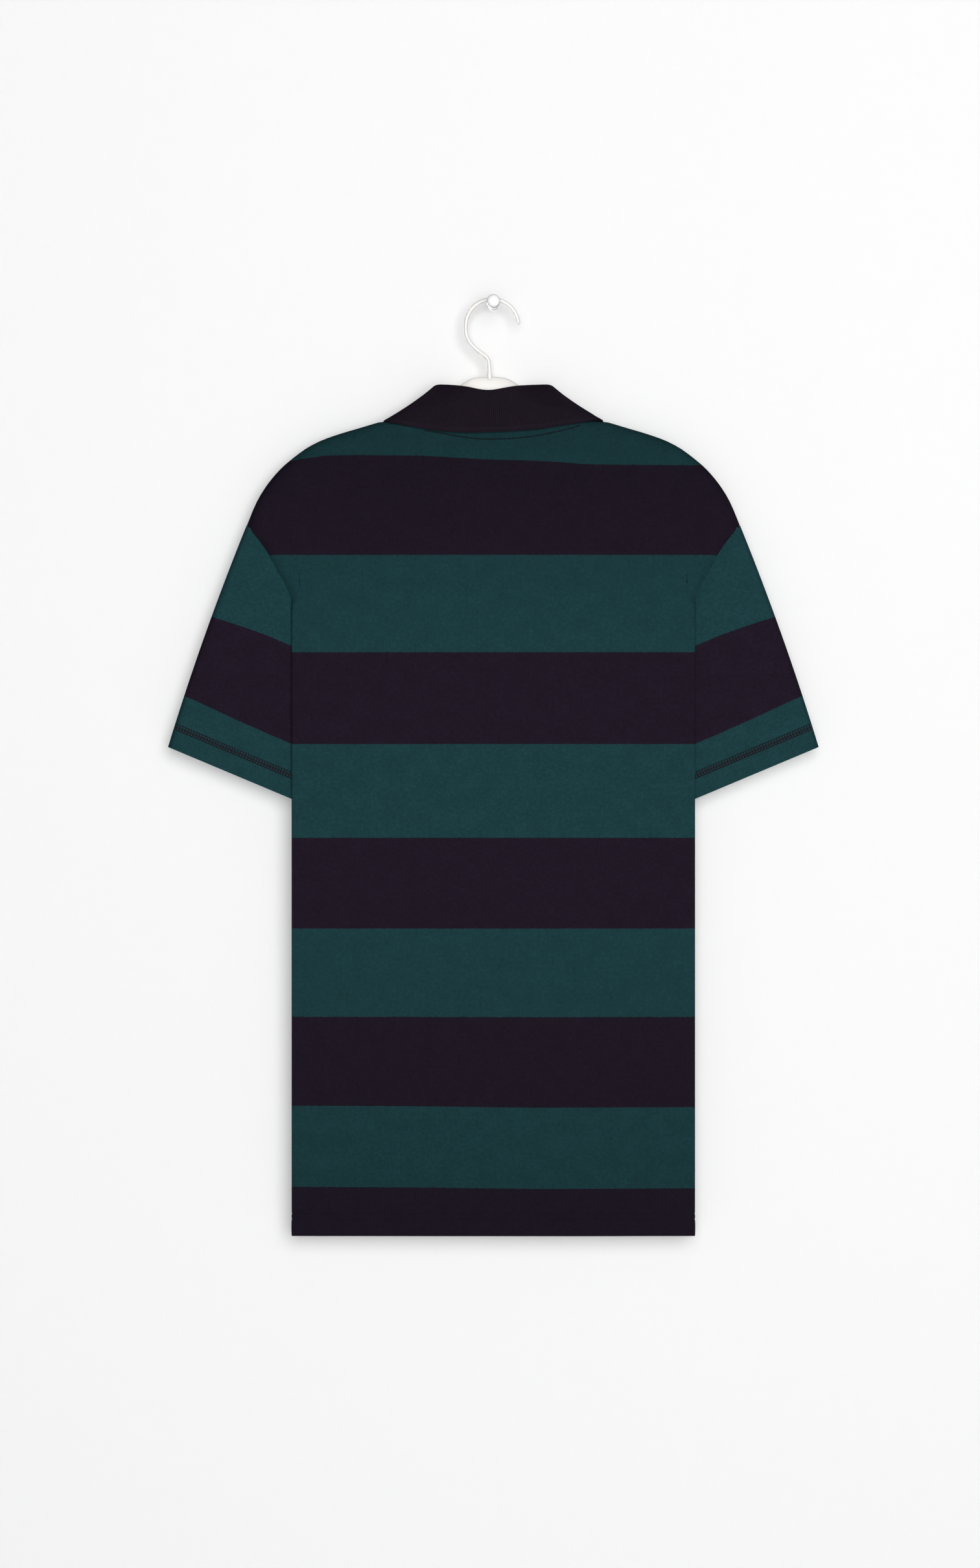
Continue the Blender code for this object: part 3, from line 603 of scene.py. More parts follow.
def calc(tree, operation, *values):
    """The result of a Math node."""
    return add_node(tree, "ShaderNodeMath", dict(enumerate(values)), operation=operation).outputs[0]


def noise(tree, vector, scale, detail):
    """A cloudy value that changes over the surface."""
    inputs = {"Vector": vector, "Scale": scale, "Detail": detail}
    return add_node(tree, "ShaderNodeTexNoise", inputs).outputs[0]


def blend(tree, share, first, second, mode="MIX"):
    """The result of mixing two colours."""
    made = add_node(tree, "ShaderNodeMix", data_type="RGBA", blend_type=mode)
    for key, value in (("Factor_Float", share), ("A_Color", first), ("B_Color", second)):
        socket = next(s for s in made.inputs if s.identifier == key)
        if isinstance(value, bpy.types.NodeSocket):
            tree.links.new(value, socket)
        else:
            socket.default_value = value if isinstance(value, float) else (*value, 1)
    return next(s for s in made.outputs if s.identifier == "Result_Color")


def group(name, inputs, outputs):
    """An empty node group with named sockets, and its first and last node."""
    tree = bpy.data.node_groups.new(name, "ShaderNodeTree")
    for label, kind, value in inputs:
        socket = tree.interface.new_socket(label, in_out="INPUT", socket_type="NodeSocket" + kind)
        if value is not None:
            socket.default_value = value
    for label, kind in outputs:
        tree.interface.new_socket(label, in_out="OUTPUT", socket_type="NodeSocket" + kind)
    return tree, tree.nodes.new("NodeGroupInput").outputs, tree.nodes.new("NodeGroupOutput").inputs


def wave(tree, turns):
    """A wave between 0 and 1 that repeats with each turn."""
    sine = calc(tree, "SINE", calc(tree, "MULTIPLY", turns, 2 * math.pi))
    return calc(tree, "MULTIPLY_ADD", sine, 0.5, 0.5)


KNIT_CLOUDS = ((0.06, 3.0, 0.2), (0.3, 2.0, 0.35), (0.9, 3.0, 0.45))  # scale per mm, detail, weight


def knit_loops_group():
    """Columns of V-shaped loops: their height, and a mottled tint."""
    tree, given, result = group(
        "knit_loops",
        [("Grain", "Vector", None), ("Wale Pitch", "Float", 0.75), ("Course Pitch", "Float", 0.6),
         ("Unevenness", "Float", 0.2)],
        [("Height", "Float"), ("Tint", "Float")])
    uneven = noise(tree, given["Grain"], 0.35, 2.0)
    shift = calc(tree, "MULTIPLY", calc(tree, "SUBTRACT", uneven, 0.5), given["Unevenness"])
    grain = add_node(tree, "ShaderNodeSeparateXYZ", {0: given["Grain"]}).outputs
    wales = calc(tree, "DIVIDE", grain["X"], given["Wale Pitch"])
    wale = calc(tree, "FRACT", calc(tree, "ADD", wales, shift))
    side = calc(tree, "ABSOLUTE", calc(tree, "MULTIPLY_ADD", wale, 2.0, -1.0))
    rise = calc(tree, "DIVIDE", grain["Y"], given["Course Pitch"])
    course = calc(tree, "ADD", calc(tree, "MULTIPLY_ADD", side, 0.5, rise), shift)
    loop = wave(tree, course)
    body = calc(tree, "SUBTRACT", 1.0, calc(tree, "POWER", side, 3.0))
    tree.links.new(calc(tree, "MULTIPLY_ADD", loop, 0.4, calc(tree, "MULTIPLY", body, 0.6)), result["Height"])
    tint = 0.0
    for scale, detail, weight in KNIT_CLOUDS:
        tint = calc(tree, "MULTIPLY_ADD", noise(tree, given["Grain"], scale, detail), weight, tint)
    tree.links.new(tint, result["Tint"])
    return tree


def thread_twist_group():
    """The slanting plies of a sewing thread."""
    tree, given, result = group(
        "thread_twist", [("Place", "Vector", None), ("Ply Pitch", "Float", 0.45)],
        [("Height", "Float"), ("Tint", "Float")])
    place = add_node(tree, "ShaderNodeSeparateXYZ", {0: given["Place"]}).outputs
    slant = calc(tree, "ADD", calc(tree, "ADD", place["X"], place["Y"]), place["Z"])
    tree.links.new(wave(tree, calc(tree, "DIVIDE", slant, given["Ply Pitch"])), result["Height"])
    tree.links.new(noise(tree, given["Place"], 1.3, 2.0), result["Tint"])
    return tree


def moulded_group():
    """A moulded surface: a soft orange peel, and faint smudges from handling."""
    tree, given, result = group(
        "moulded_surface",
        [("Place", "Vector", None), ("Peel Size", "Float", 1.2), ("Smudge Size", "Float", 14.0)],
        [("Height", "Float"), ("Smudge", "Float")])
    for size, detail, output in (("Peel Size", 2.0, "Height"), ("Smudge Size", 5.0, "Smudge")):
        scale = calc(tree, "DIVIDE", 1.0, given[size])
        tree.links.new(noise(tree, given["Place"], scale, detail), result[output])
    return tree


GROUPS = {"knit": knit_loops_group(), "thread": thread_twist_group(), "moulded": moulded_group()}


# ---- materials ----
def new_material(name, specular):
    """A material, its tree and its shader."""
    material = bpy.data.materials.new(name)
    material.use_nodes = True
    shader = material.node_tree.nodes["Principled BSDF"]
    shader.inputs["Specular IOR Level"].default_value = specular
    return material, material.node_tree, shader


def place_on_piece(tree):
    """The place on the piece, in millimetres."""
    place = tree.nodes.new("ShaderNodeTexCoord").outputs["Object"]
    return add_node(tree, "ShaderNodeVectorMath", {0: place, "Scale": 1 / MM}, operation="SCALE").outputs[0]


def use_group(tree, key, inputs):
    """A node that holds one of the groups."""
    return add_node(tree, "ShaderNodeGroup", inputs, node_tree=GROUPS[key])


def measure(tree, name):
    """The node that reads a measure kept on the mesh."""
    return add_node(tree, "ShaderNodeAttribute", attribute_name=name)


def finish(tree, shader, colour, roughness, height, relief):
    """Link a shader's colour, its roughness (tint, range, lowest) and a relief (strength, depth in mm)."""
    strength, depth = relief
    inputs = {"Height": height, "Strength": strength, "Distance": depth * MM}
    bumped = add_node(tree, "ShaderNodeBump", inputs)
    tree.links.new(colour, shader.inputs["Base Color"])
    tree.links.new(calc(tree, "MULTIPLY_ADD", *roughness), shader.inputs["Roughness"])
    tree.links.new(bumped.outputs[0], shader.inputs["Normal"])


def shaded(tree, colour, factor):
    """A colour times a factor that changes over the surface."""
    tone = add_node(tree, "ShaderNodeCombineColor", {0: factor, 1: factor, 2: factor}).outputs[0]
    return blend(tree, 1.0, colour, tone, "MULTIPLY")


def tinted(tree, colour, tint, amount):
    """A colour, lighter and darker with the tint by up to this amount."""
    centred = calc(tree, "SUBTRACT", tint, 0.5)
    return shaded(tree, colour, calc(tree, "MULTIPLY_ADD", centred, 2 * amount, 1.0))


def knitted(name, wale_pitch, course_pitch, unevenness):
    """A knit's material, tree and shader, its grain, and the height and tint of its loops."""
    material, tree, shader = new_material(name, 0.06)
    grain = measure(tree, "grain").outputs["Vector"]
    loops = {"Grain": grain, "Wale Pitch": wale_pitch, "Course Pitch": course_pitch, "Unevenness": unevenness}
    return material, tree, shader, grain, *use_group(tree, "knit", loops).outputs


def knit_material(name, stripes=(), first=NAVY, second=TEAL):
    """Cotton jersey: plain in its first colour, or changing colour at these values of the stripe measure."""
    material, tree, shader, grain, height, tint = knitted(name, 0.8, 0.66, 0.35)
    colour = first
    if stripes:
        rough_edge = calc(tree, "MULTIPLY_ADD", noise(tree, grain, 0.45, 1.0), 1.0, -0.5)
        place = calc(tree, "ADD", measure(tree, "stripe").outputs["Fac"], rough_edge)
        share = calc(tree, "GREATER_THAN", place, stripes[0])
        for number, edge in enumerate(stripes[1:]):
            change = calc(tree, "GREATER_THAN", place, edge)
            share = calc(tree, "ADD" if number % 2 else "SUBTRACT", share, change)
        # The tone measure multiplies the colour: on the body it is painted shade, darker towards the hem and
        # under the collar; on the sleeves it is even and slightly lighter.
        colour = shaded(tree, blend(tree, share, first, second), measure(tree, "tone").outputs["Fac"])
    finish(tree, shader, tinted(tree, colour, tint, 0.85), (tint, 0.12, 0.84), height, (0.5, 0.18))
    return material


def rib_material():
    """Rib knit: painted shade in the grooves between the ribs, whose relief the mesh has, a painted highlight
    along the welt's raised row, and fine loops on them.
    """
    material, tree, shader, _, height, tint = knitted("navy_rib", 1.0, 0.8, 0.1)
    # The rib measure paints shade into the grooves and a highlight along the welt's raised row.
    shade = calc(tree, "MULTIPLY_ADD", measure(tree, "rib").outputs["Fac"], 0.6, 0.58)
    colour = tinted(tree, shaded(tree, RIB_NAVY, shade), tint, 0.7)
    finish(tree, shader, colour, (tint, 0.12, 0.84), height, (0.4, 0.14))
    return material


def thread_material(name, colour):
    """Twisted sewing thread."""
    material, tree, shader = new_material(name, 0.12)
    height, tint = use_group(tree, "thread", {"Place": place_on_piece(tree), "Ply Pitch": 0.45}).outputs
    finish(tree, shader, tinted(tree, colour, tint, 0.3), (tint, 0.2, 0.6), height, (0.6, 0.08))
    return material


def plastic_material(name, colour, roughness, peel, milkiness=0.0):
    """Moulded plastic: the peel is its grain's size, and milky plastic lets some light in."""
    material, tree, shader = new_material(name, 0.5)
    shader.inputs["Subsurface Weight"].default_value = milkiness
    shader.inputs["Subsurface Radius"].default_value = (1.0, 0.95, 0.85)
    shader.inputs["Subsurface Scale"].default_value = 4 * MM
    inputs = {"Place": place_on_piece(tree), "Peel Size": peel, "Smudge Size": 14.0}
    height, smudge = use_group(tree, "moulded", inputs).outputs
    colour = tinted(tree, colour, smudge, 0.03)
    finish(tree, shader, colour, (smudge, 0.16, roughness - 0.08), height, (0.25, 0.04))
    return material


BODY_KNIT = knit_material("striped_body_knit", BODY_STRIPES)
SLEEVE_KNIT = knit_material("striped_sleeve_knit", SLEEVE_STRIPES, TEAL, NAVY)
PLACKET_KNIT = knit_material("navy_placket_knit")
RIB = rib_material()
TONAL_THREAD = thread_material("tonal_navy_thread", NAVY_THREAD)
LOOPER_THREAD = thread_material("navy_looper_thread", COVER_THREAD)
BUTTON_RESIN = plastic_material("navy_button_resin", BUTTON_NAVY, 0.32, 0.8)
HANGER_PLASTIC = plastic_material("warm_white_hanger_plastic", WARM_WHITE, 0.38, 1.6, 0.7)
PEG_PLASTIC = plastic_material("white_peg_plastic", PEG_WHITE, 0.42, 1.0)


# ---- sewing thread ----
CLEAR_OF_CLOTH = 60


class Seat:
    """The surface of a piece of cloth, for laying thread on it from one side."""

    def __init__(self, piece, side):
        mesh = piece.data
        places = [vertex.co for vertex in mesh.vertices]
        self.tree = BVHTree.FromPolygons(places, [face.vertices[:] for face in mesh.polygons])
        self.side = side  # 1 for the viewer's side, -1 for the wall's side

    def at(self, x, z):
        """The place on the cloth in metres and its normal, or None where there is no cloth."""
        start = in_space((x, CLEAR_OF_CLOTH * self.side, z))
        hit, normal, _, _ = self.tree.ray_cast(Vector(start), Vector((0, self.side, 0)))
        if hit is None:
            return None
        return np.array(hit), np.array(normal) * (1 if normal.y * self.side < 0 else -1)


STRAND_SHARES = (0, 0.12, 0.5, 0.88, 1)
STRAND_LIFTS = (-0.6, 0.35, 0.6, 0.35, -0.6)  # times the thread's radius
STRAND_SIZES = (0.5, 0.9, 1, 0.9, 0.5)
STRAND_SIDES = 6
STRAND_FLATNESS = 0.8


def sew(name, strands, seat, radius, material):
    """Visible lengths of thread on the cloth, each between two points given as x and z, as one piece."""
    points, faces = [], []
    for start, stop in strands:
        ends = seat.at(*start), seat.at(*stop)
        if None in ends:
            continue
        (first, up_a), (last, up_b) = ends
        up, run = unit(up_a + up_b), unit(last - first)
        across = np.cross(run, up)
        base = len(points)
        for share, lift, size in zip(STRAND_SHARES, STRAND_LIFTS, STRAND_SIZES):
            centre = first + (last - first) * share + up * radius * lift * MM
            for a in circle(STRAND_SIDES):
                around = across * math.cos(a) + up * math.sin(a) * STRAND_FLATNESS
                points.append(centre + around * radius * size * MM)
        faces += [[base + k for k in face] for face in capped(len(STRAND_SHARES), STRAND_SIDES)]
    return mesh_object(name, points, faces, material, sharp=80)


def stitch_line(path, length, gap):
    """Stitches of this length along a path of x and z, with gaps between them."""
    curve = np.array(path, float)
    total = run_length(curve)[-1]
    starts = np.arange(gap / 2, total - length, length + gap)
    first, last = along(curve, starts / total), along(curve, (starts + length) / total)
    return list(zip(first.tolist(), last.tolist()))


def ladder(first, last, up, needles):
    """A cover stitch: needle lines along a hem from first to last, and the looper's zigzag over them."""
    pitch, shown, _ = COVER_STITCH
    total = np.linalg.norm(last - first)
    run = (last - first) / total
    strands = []
    for needle in needles:
        strands += stitch_line([first + up * needle, last + up * needle], pitch * shown, pitch * (1 - shown))
    turns = (needles[0], needles[-1], needles[0])
    for step in np.arange(0, total - pitch / 2, pitch):
        low, high, back = (first + run * (step + ahead * pitch) + up * needle
                           for ahead, needle in zip(COVER_ZIGZAG, turns))
        strands += [(low, high), (high, back)]
    return strands


# ---- the shirt's pieces ----
def panel_cloth(name, grid, outward, kept=None):
    """A panel's wall with its turned-up hem, kept on its own side of the hanger's plane."""
    x, z = grid[..., 0], grid[..., 2]
    lining, puff = hem_relief(z - HEM_Z, BODY_HEM, BODY_NEEDLES)
    # tone: painted shade, darker towards the hem and under the collar.
    measures = {"stripe": stripe_height(x, z), "tone": table(BODY_PAINTED_SHADE, z), "grain": flat_places(x, z)}
    return cloth(name, grid, CLOTH_WALL, BODY_KNIT, outward, measures, lining, puff, kept, -outward)


def dress_back():
    """The back panel, with its neck facing the viewer."""
    grid = panel(BACK_COLUMNS, BACK_NECK_CURVE)
    piece = panel_cloth("back_cloth", grid, -1)
    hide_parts("back_panel")
    return piece, grid


def dress_front():
    """The front panel with its slit, and the two bands that fill the slit."""
    grid = panel(FRONT_COLUMNS, FRONT_NECK_CURVE) * (1, -1, 1)
    middle = grid.shape[1] // 2
    slit = int(np.argmin(np.abs(grid[:, middle, 2] - PLACKET_END_Z)))
    kept = np.ones((grid.shape[0] - 1, grid.shape[1] - 1), bool)
    kept[slit:, middle - COLUMN_STEPS:middle + COLUMN_STEPS] = False
    front = panel_cloth("front_cloth", grid, 1, kept)
    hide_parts("front_panel")

    band = grid[slit:, middle - COLUMN_STEPS:middle + COLUMN_STEPS + 1].copy()
    band[0, :, 2] += SEAM_GAP
    band[-1, :, 2] -= SEAM_GAP
    band[:, :, 0] *= (PLACKET_HALF - SEAM_GAP) / PLACKET_HALF
    grain = {"grain": flat_places(band[..., 0], band[..., 2])}
    upper = cloth("placket_upper_cloth", band, CLOTH_WALL, PLACKET_KNIT, 1, grain)
    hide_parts("placket_upper")
    under_band = band * (UNDER_BAND_HALF / PLACKET_HALF, 1, 1) + (0, UNDER_BAND_INWARD, 0)
    under = cloth("placket_under_cloth", under_band, CLOTH_WALL, PLACKET_KNIT, 1, grain)
    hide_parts("placket_under")
    return front, grid, upper, under, band


def sleeve_grid():
    """The right sleeve's middle surface, and each point's share of the way across it."""
    edge = SLEEVE_EDGE_SHARE * (1 - np.cos(np.linspace(0, math.pi / 2, SLEEVE_EDGE_STEPS + 1)))
    flat = np.linspace(SLEEVE_EDGE_SHARE, 1 - SLEEVE_EDGE_SHARE, SLEEVE_FLAT_STEPS + 1)[1:-1]
    shares = np.concatenate([edge, flat, 1 - edge[::-1]])
    start = along(ARMHOLE_CURVE, shares)
    run = unit(np.gradient(start, axis=0))
    out = np.stack([run[:, 1], -run[:, 0]], -1)
    under, open_seam, covered_seam = SLEEVE_SHIFT
    rise, end, fading = SLEEVE_COVERED
    covered = ease((start[:, 1] - FOLD_FULL_Z) / rise) * ease((end - shares) / fading)
    shift = under + (open_seam - under) * ease(shares / SLEEVE_SHIFT_OVER)
    start = start + out * (shift + (covered_seam - shift) * covered)[:, None]
    hem = np.array(SLEEVE_HEM[0]) + np.outer(shares, np.subtract(SLEEVE_HEM[1], SLEEVE_HEM[0]))
    upper, lower = SLEEVE_ROW_STEPS
    rows = []
    close = np.linspace(SLEEVE_CLOSE_FROM, 1, lower + 1)
    for down in np.concatenate([np.linspace(0, SLEEVE_CLOSE_FROM, upper + 1)[:-1], close]):
        line = start + (hem - start) * down
        line[:, 0] += SLEEVE_BOW * 4 * down * (1 - down) * shares ** 2
        width = np.linalg.norm(line[-1] - line[0])
        level = np.interp(down, *SLEEVE_DEPTHS)
        rounded = round_edge((1 - shares) * width / SLEEVE_TURN_OUT)
        rounded *= round_edge(shares * width / SLEEVE_TURN_IN)
        depth = SEAM_GAP / 2 + (level - SEAM_GAP / 2) * rounded
        depth[-1] = 0
        back = np.stack([line[:, 0], depth, line[:, 1]], -1)
        rows.append(np.concatenate([back, back[-2::-1] * (1, -1, 1)]))
    return np.array(rows), np.concatenate([shares, shares[-2::-1]])


def dress_sleeve(name, hand):
    """A sleeve from the armhole to its hem: back layer, round outer edge, front layer, open to the hem."""
    grid, shares = sleeve_grid()
    run = unit(np.subtract(SLEEVE_HEM[1], SLEEVE_HEM[0]))
    up = np.array((-run[1], run[0]))
    offset = np.stack([grid[..., 0] - SLEEVE_HEM[0][0], grid[..., 2] - SLEEVE_HEM[0][1]], -1)
    from_hem, across = offset @ up, offset @ run
    lining, puff = hem_relief(from_hem, SLEEVE_HEM_DEPTH, SLEEVE_NEEDLES)
    puff = puff * ease((1 - shares) / SLEEVE_EDGE_SHARE * 2)
    edge_shares, low_edge, high_edge = zip(*SLEEVE_STRIPE_EDGES)
    low, high = np.interp(shares, edge_shares, low_edge), np.interp(shares, edge_shares, high_edge)
    stripe = SLEEVE_STRIPES[1] * (from_hem - low) / (high - low)
    sides = np.zeros(grid.shape[1])
    sides[:3], sides[-3:] = 1, -1
    tone = np.full_like(stripe, SLEEVE_TONE)
    measures = {"stripe": stripe, "tone": tone, "grain": flat_places(across, from_hem)}
    piece = cloth(name + "_cloth", grid * (hand, 1, 1), CLOTH_WALL, SLEEVE_KNIT, hand, measures,
                  lining=lining, puff=puff, sides=sides)
    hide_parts(name)
    return piece, grid, up * (hand, 1)


def collar_lines():
    """Neck seam, fold and outer edge of the whole collar, each as x, depth, z along the collar."""
    mirrored = np.array(COLLAR[1]) * (-1, -1, 1, 1, -1, 1, 1)
    rows = smooth([mirrored, *COLLAR], COLLAR_STEPS)[COLLAR_STEPS:]
    neck_x, fold_x, fold_depth, fold_z, edge_x, edge_z, lift = rows.T
    side = np.sign(COLLAR_SHOULDER * COLLAR_STEPS - np.arange(len(neck_x)))
    neck_x = np.minimum(neck_x, SHOULDER[0][0])
    curves = (FRONT_NECK_CURVE, BACK_NECK_CURVE)
    neck_z = np.where(side < 0, *(np.interp(neck_x, curve[:, 0], curve[:, 1]) for curve in curves))
    neck = np.stack([neck_x, body_depth(neck_x, neck_z) * side, neck_z], -1)
    fold = np.stack([fold_x, fold_depth, fold_z], -1)
    edge = np.stack([edge_x, (body_depth(edge_x, edge_z) + lift) * side, edge_z], -1)
    neck, fold, edge = (np.concatenate([line[:0:-1] * (-1, 1, 1), line]) for line in (neck, fold, edge))
    edge[:, 2] += table(COLLAR_LEAN, edge[:, 0]) * ease(1 + edge[:, 1] / LEAN_FADE)
    lean, width = FOLD_SKEW
    fold[:, 2] += lean * fold[:, 0] * bump(fold[:, 0] / width) * (fold[:, 1] > 0)
    return neck, fold, edge


def dress_collar():
    """One folded strip of rib: it stands up from the neckline, folds over and falls outside."""
    neck, fold, edge = collar_lines()
    strip = (run_length(neck) + run_length(edge)) / 2
    ribs = round(strip[-1] / RIB_PITCH)
    even = np.linspace(0, strip[-1], ribs * RIB_SAMPLES + 1)
    neck, fold, edge = (between(even, strip, line) for line in (neck, fold, edge))
    run = unit(np.gradient(fold, axis=0))
    over = fold - (neck + edge) / 2
    over = unit(over - (over * run).sum(1, keepdims=True) * run)
    outward = np.cross(run, over)
    outward *= np.sign((outward * (edge - neck)).sum(1, keepdims=True))
    neck = neck + unit(fold - neck) * (CLOTH_WALL / 2 + SEAM_GAP)
    inner, outer = fold - outward * COLLAR_FOLD, fold + outward * COLLAR_FOLD
    lines = [neck + (inner - neck) * share for share in np.linspace(0, 1, COLLAR_STAND_ROWS + 1)]
    for angle in np.radians(np.linspace(0, 180, COLLAR_FOLD_ROWS + 1)[1:-1]):
        lines.append(fold + COLLAR_FOLD * (over * math.sin(angle) - outward * math.cos(angle)))
    sag = COLLAR_SAG * np.maximum(outward[:, 2:], 0) * outward
    leaf_length = np.linalg.norm(edge - outer, axis=1)
    leaf_shares = 1 - np.linspace(1, 0, COLLAR_LEAF_ROWS + 1) ** LEAF_CROWDING
    lines += [outer + (edge - outer) * share - sag * 4 * share * (1 - share) for share in leaf_shares]
    grid = np.array(lines)
    to_edge = np.full(grid.shape[:2], leaf_length.max() + WELT)
    to_edge[-len(leaf_shares):] = leaf_length * (1 - leaf_shares[:, None])
    ribs = np.cos(2 * math.pi * np.arange(len(even)) / RIB_SAMPLES)
    rib = ribs[None] * ease((to_edge - WELT) / RIB_FADE)
    place, half, height = WELT_RIDGE
    ridge = bump((to_edge - place) / half)
    thinner, reach = LEAF_THINNING
    relief = RIB_HEIGHT * rib + height * ridge - thinner * ease((reach - to_edge) / reach)
    down = np.cumsum(np.linalg.norm(np.diff(grid, axis=0, prepend=grid[:1]), axis=-1), axis=0)
    # The rib measure carries painted shade in the grooves and a painted highlight on the welt's raised row.
    measures = {"rib": 0.5 + 0.5 * rib + 0.4 * ridge, "grain": flat_places(even, down)}
    piece = cloth("collar_rib", grid, RIB_WALL, RIB, 1, measures, lining=relief, puff=relief)
    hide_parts("collar")
    return piece, grid


# ---- what holds the shirt up ----
def dress_hanger():
    """The arms and the dome between them, lofted through smooth oval sections."""
    half = smooth(HANGER_SECTIONS, 6)
    sections = np.concatenate([half[:0:-1] * (-1, 1, 1, 1), half])
    shift, even_x = DOME_SHIFT
    sections[:, 0] += shift * ease(1 - np.abs(sections[:, 0]) / even_x)
    rings = [[(x, thickness / 2 * math.sin(a), top - height / 2 * (1 - math.cos(a)))
              for a in circle(HANGER_SIDES)] for x, top, height, thickness in sections]
    piece = lofted("hanger_arms", rings, HANGER_PLASTIC, 50)
    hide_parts("hanger")
    return piece


def dress_hook():
    """The hook's bar, from its round tip over the arc and down the neck into the dome."""
    x, z = HOOK_CENTRE
    angles = np.radians(np.linspace(HOOK_TIP_ANGLE, 180, HOOK_ARC_STEPS))
    arc = [(x + HOOK_RADIUS * math.cos(a), z + HOOK_RADIUS * math.sin(a)) for a in angles]
    neck = smooth([arc[-4], *HOOK_NECK, (HOOK_NECK[-1][0], HOOK_NECK[-1][1] - 4)], 6)[6:]
    path = np.vstack([arc, neck])
    tangent = unit(np.gradient(path, axis=0))
    half_width, half_depth = np.array(HOOK_BAR) / 2
    size = round_edge(np.maximum(run_length(path) / half_width, ROUND_START))
    length, growth = HOOK_ROOT
    size *= 1 + (growth - 1) * ease((HOOK_NECK[-1][1] + length - path[:, 1]) / length) * (path[:, 0] < 0)
    turn = circle(HOOK_SIDES)
    rings = []
    for (px, pz), (tx, tz), scale in zip(path, tangent, size):
        out, deep = half_width * np.cos(turn) * scale, half_depth * np.sin(turn) * scale
        rings.append(np.stack([px - tz * out, deep, pz + tx * out], -1))
    piece = lofted("hook_bar", rings, HANGER_PLASTIC, 50)
    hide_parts("hanger_hook")
    return piece


def dress_peg():
    """The peg, turned about its own line, with its flat back on the wall."""
    profile = [(HANGER_Y + gap, radius) for gap, radius in PEG_PROFILE]
    piece = turned("peg_turned", profile, PEG_SIDES, (0, 0, PEG_LEVEL), PEG_PLASTIC)
    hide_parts("wall_peg")
    return piece


# ---- buttons, buttonholes and stitching ----
def dress_button(number, z, band):
    """A four-hole button with a raised rim, drilled through."""
    column = band.shape[1] // 2
    depth = np.interp(z, band[:, column, 2], band[:, column, 1]) - CLOTH_WALL / 2 - SEAM_GAP
    profile = [(-height, radius) for radius, height in BUTTON_PROFILE]
    piece = turned(f"button_{number}_drilled", profile, BUTTON_SIDES, (0, depth, z), BUTTON_RESIN)
    radius, place = BUTTON_HOLE
    drill_profile = [(end, radius) for end in BUTTON_DRILL]
    for dx in (-place / 2, place / 2):
        for dz in (-place / 2, place / 2):
            drill = turned("drill", drill_profile, DRILL_SIDES, (dx, depth, z + dz), BUTTON_RESIN)
            cut = piece.modifiers.new("hole", "BOOLEAN")
            cut.object, cut.operation = drill, "DIFFERENCE"
            mesh = bpy.data.meshes.new_from_object(piece.evaluated_get(bpy.context.evaluated_depsgraph_get()))
            piece.modifiers.clear()
            piece.data = mesh
            bpy.data.objects.remove(drill, do_unlink=True)
    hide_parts(f"button_{number}")
    return piece


def sew_hems(back, front, sleeves):
    """The hems' lines of stitches, on the back and the front of each."""
    sewn = {}
    length, gap, radius = HEM_STITCH
    half = FOLD_X - 2
    for piece, side, name in ((back, 1, "back_hem_stitches"), (front, -1, "front_hem_stitches")):
        lines = [[(-half, HEM_Z + needle), (half, HEM_Z + needle)] for needle in BODY_NEEDLES]
        strands = [strand for line in lines for strand in stitch_line(line, length, gap)]
        sewn[name] = sew(name, strands, Seat(piece, side), radius, TONAL_THREAD)
    for piece, hand, up, label in sleeves:
        first, last = np.array(SLEEVE_HEM) * (hand, 1)
        ahead = (last - first) * COVER_AHEAD
        strands = ladder(first + ahead, last + ahead, up, SLEEVE_NEEDLES)
        for side, face in ((1, "back"), (-1, "front")):
            name = f"sleeve_{label}_{face}_stitches"
            sewn[name] = sew(name, strands, Seat(piece, side), COVER_STITCH[2], LOOPER_THREAD)
    return sewn


def sew_placket(upper):
    """The stitched edge and box of the upper band, and its buttonholes, which lie along it."""
    length, gap, radius = PLACKET_STITCH
    from_side, from_end, box, top_z = PLACKET_SEWN
    edge_x, low_z = PLACKET_HALF - from_side, PLACKET_END_Z + from_end
    loop = [(edge_x, top_z), (edge_x, low_z), (-edge_x, low_z), (-edge_x, top_z)]
    strands = [strand for ends in zip(loop, loop[1:]) for strand in stitch_line(ends, length, gap)]
    strands += stitch_line([(-edge_x, low_z + box), (edge_x, low_z + box)], length, gap)
    half, pitch, inner, outer = BUTTONHOLE
    for z in BUTTON_HEIGHTS:
        for step in np.arange(-half, half + pitch / 6, pitch):
            strands += [((-outer, z + step), (-inner, z + step)), ((inner, z + step), (outer, z + step))]
    return sew("placket_stitches", strands, Seat(upper, -1), radius, TONAL_THREAD)


def main():
    """Dress every piece and sew it."""
    back, back_grid = dress_back()
    front, front_grid, upper, under, band = dress_front()
    right, sleeve, right_up = dress_sleeve("sleeve_right", 1)
    left, _, left_up = dress_sleeve("sleeve_left", -1)
    collar, collar_grid = dress_collar()
    hanger = dress_hanger()
    dress_hook()
    dress_peg()
    buttons = [dress_button(number, z, band) for number, z in enumerate(BUTTON_HEIGHTS, start=1)]

    sewn = sew_hems(back, front, ((right, 1, right_up, "right"), (left, -1, left_up, "left")))
    length, gap, radius = NECK_STITCH
    neck_strands = stitch_line(smooth(NECK_STITCHING, 8), length, gap)
    neck_stitches = sew("neck_stitches", neck_strands, Seat(back, 1), radius, TONAL_THREAD)
    placket_stitches = sew_placket(upper)


# ---- the studio ----
def painted(name, colour, roughness, specular):
    """Plain matt paint: its material, its tree and its shader."""
    material, tree, shader = new_material(name, specular)
    shader.inputs["Base Color"].default_value = (*colour, 1)
    shader.inputs["Roughness"].default_value = roughness
    return material, tree, shader


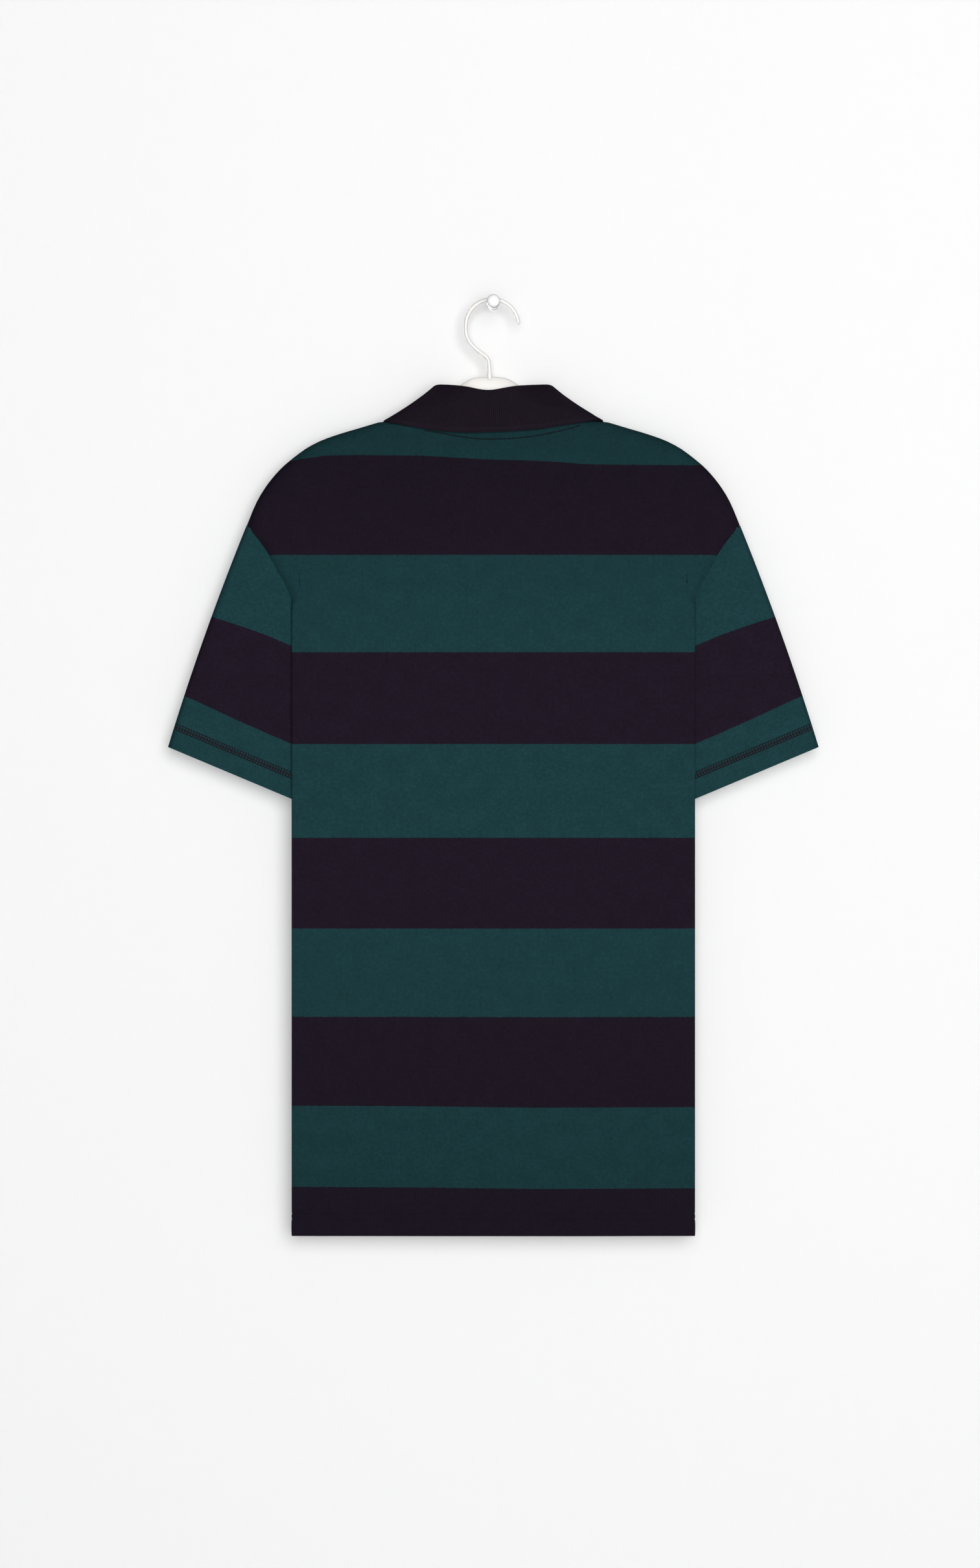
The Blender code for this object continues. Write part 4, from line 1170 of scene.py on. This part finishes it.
def wall_material(name, colour, glow):
    """Matt white paint that also glows a little. It shows from its front only and lets all light pass."""
    material, tree, shader = painted(name, colour, 1.0, 0.0)
    shader.inputs["Emission Color"].default_value = (1, 1, 1, 1)
    shader.inputs["Emission Strength"].default_value = glow
    back = tree.nodes.new("ShaderNodeNewGeometry").outputs["Backfacing"]
    seen = tree.nodes.new("ShaderNodeLightPath").outputs["Is Camera Ray"]
    share = calc(tree, "MULTIPLY", seen, calc(tree, "SUBTRACT", 1.0, back))
    mix = tree.nodes.new("ShaderNodeMixShader")
    tree.links.new(share, mix.inputs[0])
    tree.links.new(tree.nodes.new("ShaderNodeBsdfTransparent").outputs[0], mix.inputs[1])
    tree.links.new(shader.outputs[0], mix.inputs[2])
    tree.links.new(mix.outputs[0], tree.nodes["Material Output"].inputs["Surface"])
    return material


def stage_plane(name, corners, material):
    """A flat backdrop, which isn't part of the object."""
    mesh = bpy.data.meshes.new(name)
    mesh.from_pydata(corners, [], [(0, 1, 2, 3)])
    mesh.materials.append(material)
    linked(name, mesh)


def area_light(name, place, size, power):
    """A round soft light that faces the shirt."""
    data = bpy.data.lights.new(name, "AREA")
    data.shape, data.size, data.energy = "DISK", size, power
    item = linked(name, data)
    item.location = place
    item.rotation_euler = (Vector(LIGHT_AIM) - Vector(place)).to_track_quat("-Z", "Y").to_euler()


VIEW_HEIGHT = 1.4495  # of the photograph's whole frame, at the shirt's back
VIEW_CENTRE = (-0.0031, -0.4434 - PEG_LEVEL * MM)
VIEW_DISTANCE = 3.6
SENSOR = 36.0
WALL_Y = 0.0006
WALL_HALF = 4
WALL_TOP = 3
FLOOR_Z = -1.6
FLOOR_HALF = 5
FLOOR_GREY = (0.8, 0.8, 0.8)
WALL_WHITE = (0.68, 0.68, 0.68)
WALL_GLOW = 0.175
AIR_LIGHT = 0.13
LIGHT_AIM = (0, 0, -0.42)
KEY_PLACE = (0.78, -5.0, 0.36)
KEY_SIZE = 5.0
KEY_POWER = 288
REAR_PLACE = (-0.5, 2.6, 0.2)
REAR_SIZE = 1.6
REAR_POWER = 60


def studio():
    """The wall, the floor, the lights and the camera."""
    back_y = node_range("back_panel", 1)[0] * MM
    corners = ((-1, -1), (1, -1), (1, 1), (-1, 1))
    wall = [(side * WALL_HALF, WALL_Y, WALL_TOP if up > 0 else FLOOR_Z) for side, up in corners]
    stage_plane("studio_wall", wall, wall_material("white_wall", WALL_WHITE, WALL_GLOW))
    floor = [(x * FLOOR_HALF, y * FLOOR_HALF, FLOOR_Z) for x, y in corners]
    stage_plane("studio_floor", floor, painted("pale_floor", FLOOR_GREY, 0.95, 0.5)[0])
    world = bpy.data.worlds.new("studio_air")
    bpy.context.scene.world = world
    world.use_nodes = True
    world.node_tree.nodes["Background"].inputs["Color"].default_value = (1, 1, 1, 1)
    world.node_tree.nodes["Background"].inputs["Strength"].default_value = AIR_LIGHT
    area_light("key", KEY_PLACE, KEY_SIZE, KEY_POWER)
    area_light("rear_fill", REAR_PLACE, REAR_SIZE, REAR_POWER)

    data = bpy.data.cameras.new("camera")
    data.sensor_width = SENSOR
    data.lens = SENSOR * VIEW_DISTANCE / VIEW_HEIGHT
    camera = linked("camera", data)
    camera.location = (VIEW_CENTRE[0], back_y - VIEW_DISTANCE, VIEW_CENTRE[1])
    camera.rotation_euler = (math.pi / 2, 0, 0)
    bpy.context.scene.camera = camera
    bpy.context.scene.view_settings.view_transform = "Standard"


main()
studio()
